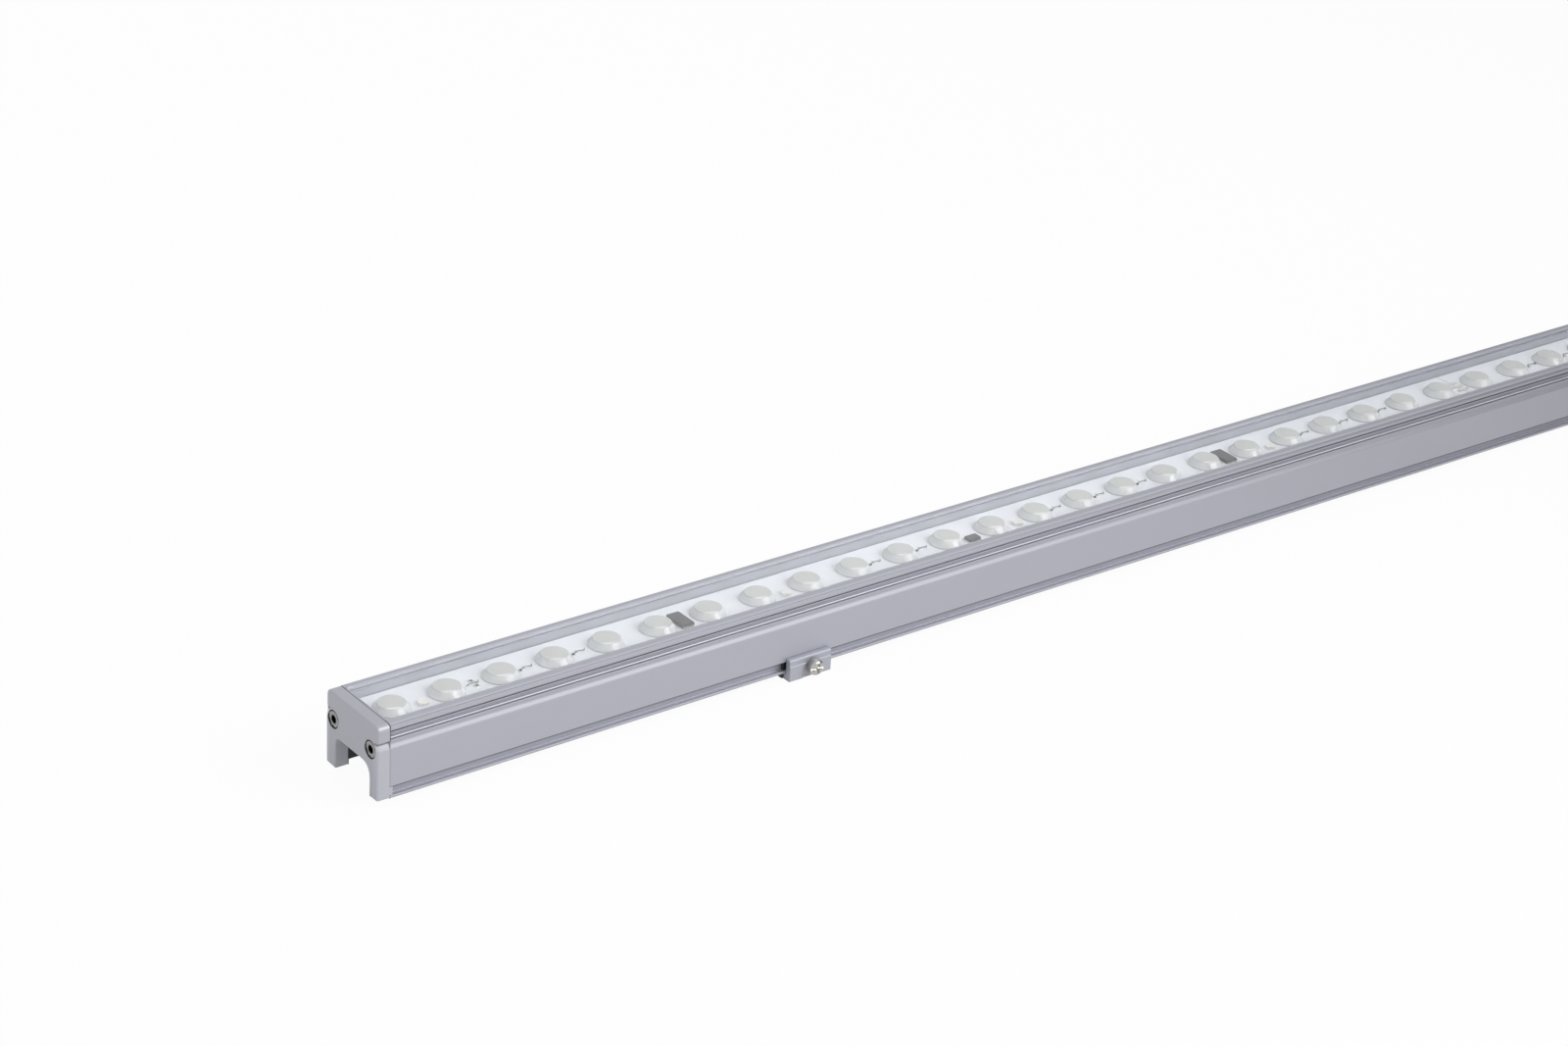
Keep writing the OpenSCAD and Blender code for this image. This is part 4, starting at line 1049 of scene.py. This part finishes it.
# %% [markdown]
# ## Clip jaws
# The jaw is cut from its own small extrusion: a lip with a rounded top, a step, and a lower part
# that stands proud. A round notch beside the clamp screw is milled through the proud part. A
# boolean would cut that too, but with a hard rim. So the outer face is a height field over the
# jaw's length and height, whose depth depends on both.

# %% Depth of the jaw's face
jaw_low, jaw_high = box_mm("clip_jaw_left")
screw_low, screw_high = box_mm("clamp_screw_left")
SCREW_X = (screw_low[0] + screw_high[0]) / 2
JAW_BACK = -HALF_W - 0.15
JAW_FACE = JAW_BACK - 2.0
LIP_R = 0.8
PROUD, PROUD_TOP, PROUD_SLOPE = 0.3, LIFT + 3.3, 0.14
NOTCH_R, NOTCH_Z, NOTCH_SLOPE = 3.9, LIFT + 0.3, 0.12
SOFT_R = 0.2


def jaw_depth(x, z):
    """How far the jaw's outer face stands out at a place: the lip's quarter round at the top, the
    upper face, and the proud part below the step, less where the round notch cuts it back. A
    quarter round is the radius less the root of the radius squared less the reach squared."""
    lip = np.clip(z - (jaw_high[2] - LIP_R), 0, LIP_R)
    rounded = LIP_R - np.sqrt(LIP_R ** 2 - lip ** 2)
    step = np.clip((PROUD_TOP - z) / PROUD_SLOPE, 0, 1)
    away = np.hypot(x - SCREW_X, np.maximum(z - NOTCH_Z, 0))
    notch = np.clip((away - NOTCH_R) / NOTCH_SLOPE, 0, 1)
    edge = np.minimum(np.minimum(x - jaw_low[0], jaw_high[0] - x), z - jaw_low[2])
    reach = np.clip(SOFT_R - edge, 0, SOFT_R)
    soft = SOFT_R - np.sqrt(np.maximum(SOFT_R ** 2 - reach ** 2, 0))
    return JAW_FACE - PROUD * step * notch + rounded + soft


print("jaw from", np.round(jaw_low, 2).tolist(), "to", np.round(jaw_high, 2).tolist())

# %% Jaw with its notch
JAW_LENGTH, JAW_HEIGHT, HOOK = 17.6, 8.05, 1.25
EDGE_STEPS = np.array([0, 0.02, 0.06, 0.12, 0.2])


def jaw_shape():
    """The height field on a grid of length and height, finer at the edges and at the lip, and
    closed with a plain back."""
    x = np.concatenate([EDGE_STEPS, np.linspace(0.4, 17.2, 85), JAW_LENGTH - EDGE_STEPS[::-1]])
    z = np.concatenate([EDGE_STEPS, np.linspace(0.35, 7.2, 56), np.linspace(7.25, JAW_HEIGHT, 14)])
    x = jaw_low[0] + x
    z = jaw_low[2] + z * (jaw_high[2] - jaw_low[2]) / JAW_HEIGHT
    grid_x, grid_z = np.meshgrid(x, z, indexing="ij")
    front = np.stack([grid_x, jaw_depth(grid_x, grid_z), grid_z], axis=-1)
    back_y = np.broadcast_to(np.where(z < LIFT - 0.3, JAW_BACK + HOOK, JAW_BACK), grid_x.shape)
    back = np.stack([grid_x, back_y, grid_z], axis=-1)
    rows, columns = grid_x.shape
    row, column = np.meshgrid(np.arange(rows - 1), np.arange(columns - 1), indexing="ij")
    corner = row * columns + column
    quads = np.stack([corner, corner + columns, corner + columns + 1, corner + 1], axis=-1)
    quads = quads.reshape(-1, 4)
    total = rows * columns
    rim = np.concatenate([np.arange(columns - 1), np.arange(rows - 1) * columns + columns - 1,
                          (rows - 1) * columns + np.arange(columns - 1, 0, -1),
                          np.arange(rows - 1, 0, -1) * columns])
    after = np.roll(rim, -1)
    side_faces = np.stack([rim, after, after + total, rim + total], axis=-1)
    points = np.concatenate([front.reshape(-1, 3), back.reshape(-1, 3)])
    return points, np.concatenate([quads, quads[:, ::-1] + total, side_faces]).tolist()


left_jaw = jaw_shape()
add_piece("jaw_left", left_jaw, "jaw_metal", "clip_left", ["clip_jaw_left"])
add_piece("jaw_right", mirrored_along(left_jaw), "jaw_metal", "clip_right", ["clip_jaw_right"])

# %% [markdown]
# ## Studio
# The photograph shows the lamp alone on pure white, seen from its left front and a little above
# with a long lens. A pale floor carries a soft shadow. Strong lamps could burn the floor to
# white, but they would burn the metal too. So floor and sky are white by their own colour, to the
# camera and in reflections, which Light Path tells apart, and the lamps only light the object.

# %% White where it is seen
def seen_share(nodes, direct, mirrored):
    """Share of white by the kind of ray: one value for camera and transmission rays, one for
    glossy rays."""
    path = nodes.new("ShaderNodeLightPath")
    straight = math_node(nodes, "MAXIMUM", path.outputs["Is Camera Ray"],
                         path.outputs["Is Transmission Ray"])
    glossy = math_node(nodes, "MULTIPLY", path.outputs["Is Glossy Ray"], mirrored)
    return math_node(nodes, "MAXIMUM", math_node(nodes, "MULTIPLY", straight, direct), glossy)


def white_where_seen(tree, kind, shader, direct, mirrored):
    """Mixes a shader with plain white, from a node of the given kind, by that share."""
    nodes, links = tree.nodes, tree.links
    white = nodes.new(kind)
    white.inputs["Color"].default_value = (1, 1, 1, 1)
    white.inputs["Strength"].default_value = 1.0
    mix = nodes.new("ShaderNodeMixShader")
    links.new(seen_share(nodes, direct, mirrored), mix.inputs[0])
    links.new(shader, mix.inputs[1])
    links.new(white.outputs[0], mix.inputs[2])
    return mix.outputs[0]


def add_card(name, corners, material):
    """One flat face through four corners."""
    mesh = bpy.data.meshes.new(name)
    mesh.from_pydata(corners, [], [(0, 1, 2, 3)])
    mesh.materials.append(material)
    card = bpy.data.objects.new(name, mesh)
    bpy.context.scene.collection.objects.link(card)
    return card


# %% Floor and sky
FLOOR_HALF = 30.0
floor_material = bpy.data.materials.new("studio_floor")
floor_material.use_nodes = True
floor_tree = floor_material.node_tree
floor_shader = floor_tree.nodes["Principled BSDF"]
floor_shader.inputs["Base Color"].default_value = (0.9, 0.9, 0.9, 1)
floor_shader.inputs["Roughness"].default_value = 0.9
floor_white = white_where_seen(floor_tree, "ShaderNodeEmission", floor_shader.outputs[0], 0.95, 0.6)
floor_tree.links.new(floor_white, floor_tree.nodes["Material Output"].inputs["Surface"])
floor = add_card("floor", [(x * FLOOR_HALF, y * FLOOR_HALF, 0)
                           for x, y in ((-1, -1), (1, -1), (1, 1), (-1, 1))], floor_material)

world = bpy.data.worlds.new("studio")
bpy.context.scene.world = world
world.use_nodes = True
world_tree = world.node_tree
sky = world_tree.nodes["Background"]
sky.inputs["Color"].default_value = (0.96, 0.975, 1.0, 1)
sky.inputs["Strength"].default_value = 0.60
sky_white = white_where_seen(world_tree, "ShaderNodeBackground", sky.outputs[0], 1.0, 0.7)
world_tree.links.new(sky_white, world_tree.nodes["World Output"].inputs["Surface"])
print("floor", 2 * FLOOR_HALF, "m wide")

# %% Lamps
def add_lamp(name, place, target, size, power):
    """A soft rectangular lamp at a place, aimed at a target."""
    data = bpy.data.lights.new(name, "AREA")
    data.shape = "RECTANGLE"
    data.size, data.size_y = size
    data.energy = power
    lamp = bpy.data.objects.new(name, data)
    lamp.location = place
    aim = Vector(target) - Vector(place)
    lamp.rotation_mode = "QUATERNION"
    lamp.rotation_quaternion = aim.to_track_quat("-Z", "Y")
    bpy.context.scene.collection.objects.link(lamp)
    print(name, power, "W")


add_lamp("key_softbox", (0.9, -1.5, 1.3), (-0.1, 0, 0), (1.6, 1.2), 30.0)
add_lamp("top_softbox", (-0.2, 0.4, 2.2), (-0.1, 0, 0), (2.4, 1.6), 3.0)
add_lamp("left_fill", (-2.2, -0.6, 0.9), (-0.3, 0, 0), (1.2, 1.0), 0.5)

# %% [markdown]
# ## Flags
# In the photograph the light falls off towards the right end. Weaker lamps would darken the left
# end as well. Photographers use flags, black cards beside and above the object. The upper one is
# a net that gets denser to the right, so that the glass shows no hard edge in its reflection.
# Both hide from the camera.

# %% Black cards at the right
FLAG_FRONT, FLAG_BACK, FLAG_END = -0.35, 1.3, 1.6
FRONT_FLAG_X, FRONT_FLAG_TOP = 0.12, 0.32
TOP_FLAG_X, TOP_FLAG_Z = 0.3, 0.5


def flag_black(name, start, full):
    """Black cloth whose density grows evenly along X from none at the start to all at the full."""
    made = bpy.data.materials.new(name)
    made.use_nodes = True
    nodes, links = made.node_tree.nodes, made.node_tree.links
    shader = nodes["Principled BSDF"]
    shader.inputs["Base Color"].default_value = (0.02, 0.02, 0.02, 1)
    shader.inputs["Roughness"].default_value = 0.9
    place = nodes.new("ShaderNodeSeparateXYZ")
    links.new(nodes.new("ShaderNodeTexCoord").outputs["Object"], place.inputs[0])
    share = math_node(nodes, "MULTIPLY_ADD", place.outputs["X"], 1 / (full - start),
                      -start / (full - start))
    share = math_node(nodes, "MINIMUM", math_node(nodes, "MAXIMUM", share, 0.0), 1.0)
    mix = nodes.new("ShaderNodeMixShader")
    links.new(share, mix.inputs[0])
    links.new(nodes.new("ShaderNodeBsdfTransparent").outputs[0], mix.inputs[1])
    links.new(shader.outputs[0], mix.inputs[2])
    links.new(mix.outputs[0], nodes["Material Output"].inputs["Surface"])
    return made


def add_flag(name, corners, start, full):
    """A card through four corners, unseen by camera and transmission rays."""
    flag = add_card(name, corners, flag_black(name, start, full))
    flag.visible_camera = False
    flag.visible_transmission = False
    print(name, "from", start, "m")


add_flag("front_flag", [(FRONT_FLAG_X, FLAG_FRONT, 0.0), (FLAG_END, FLAG_FRONT, 0.0),
                        (FLAG_END, FLAG_FRONT, FRONT_FLAG_TOP),
                        (FRONT_FLAG_X, FLAG_FRONT, FRONT_FLAG_TOP)], 0.11, FRONT_FLAG_X)
add_flag("top_flag", [(TOP_FLAG_X, FLAG_FRONT, TOP_FLAG_Z), (FLAG_END, FLAG_FRONT, TOP_FLAG_Z),
                      (FLAG_END, FLAG_BACK, TOP_FLAG_Z), (TOP_FLAG_X, FLAG_BACK, TOP_FLAG_Z)],
         0.35, 0.75)

# %% [markdown]
# ## Camera
# A camera turned by eye never quite meets a photograph. This one's place and direction were
# solved from the straight edges of the lamp: lines that are parallel on the lamp meet at one
# point in the picture. Its right and its line of sight are given, and its up stands square on
# both.

# %% Camera
camera_data = bpy.data.cameras.new("camera")
camera_data.sensor_fit = "HORIZONTAL"
camera_data.sensor_width = 36.0
camera_data.lens = 85.18
camera_data.clip_start, camera_data.clip_end = 0.05, 100.0
camera = bpy.data.objects.new("camera", camera_data)
right = Vector((0.7961, -0.6026, 0.0556)).normalized()
sight = Vector((0.5600, 0.6987, -0.4452)).normalized()
up = right.cross(sight).normalized()
back = -sight
place = Vector((-1.0297, -0.8715, 0.6059))
camera.matrix_world = Matrix((*zip(right, up, back, place), (0, 0, 0, 1)))
bpy.context.scene.collection.objects.link(camera)
bpy.context.scene.camera = camera
bpy.context.scene.view_settings.view_transform = "Standard"
print("camera at", tuple(round(value, 3) for value in place))
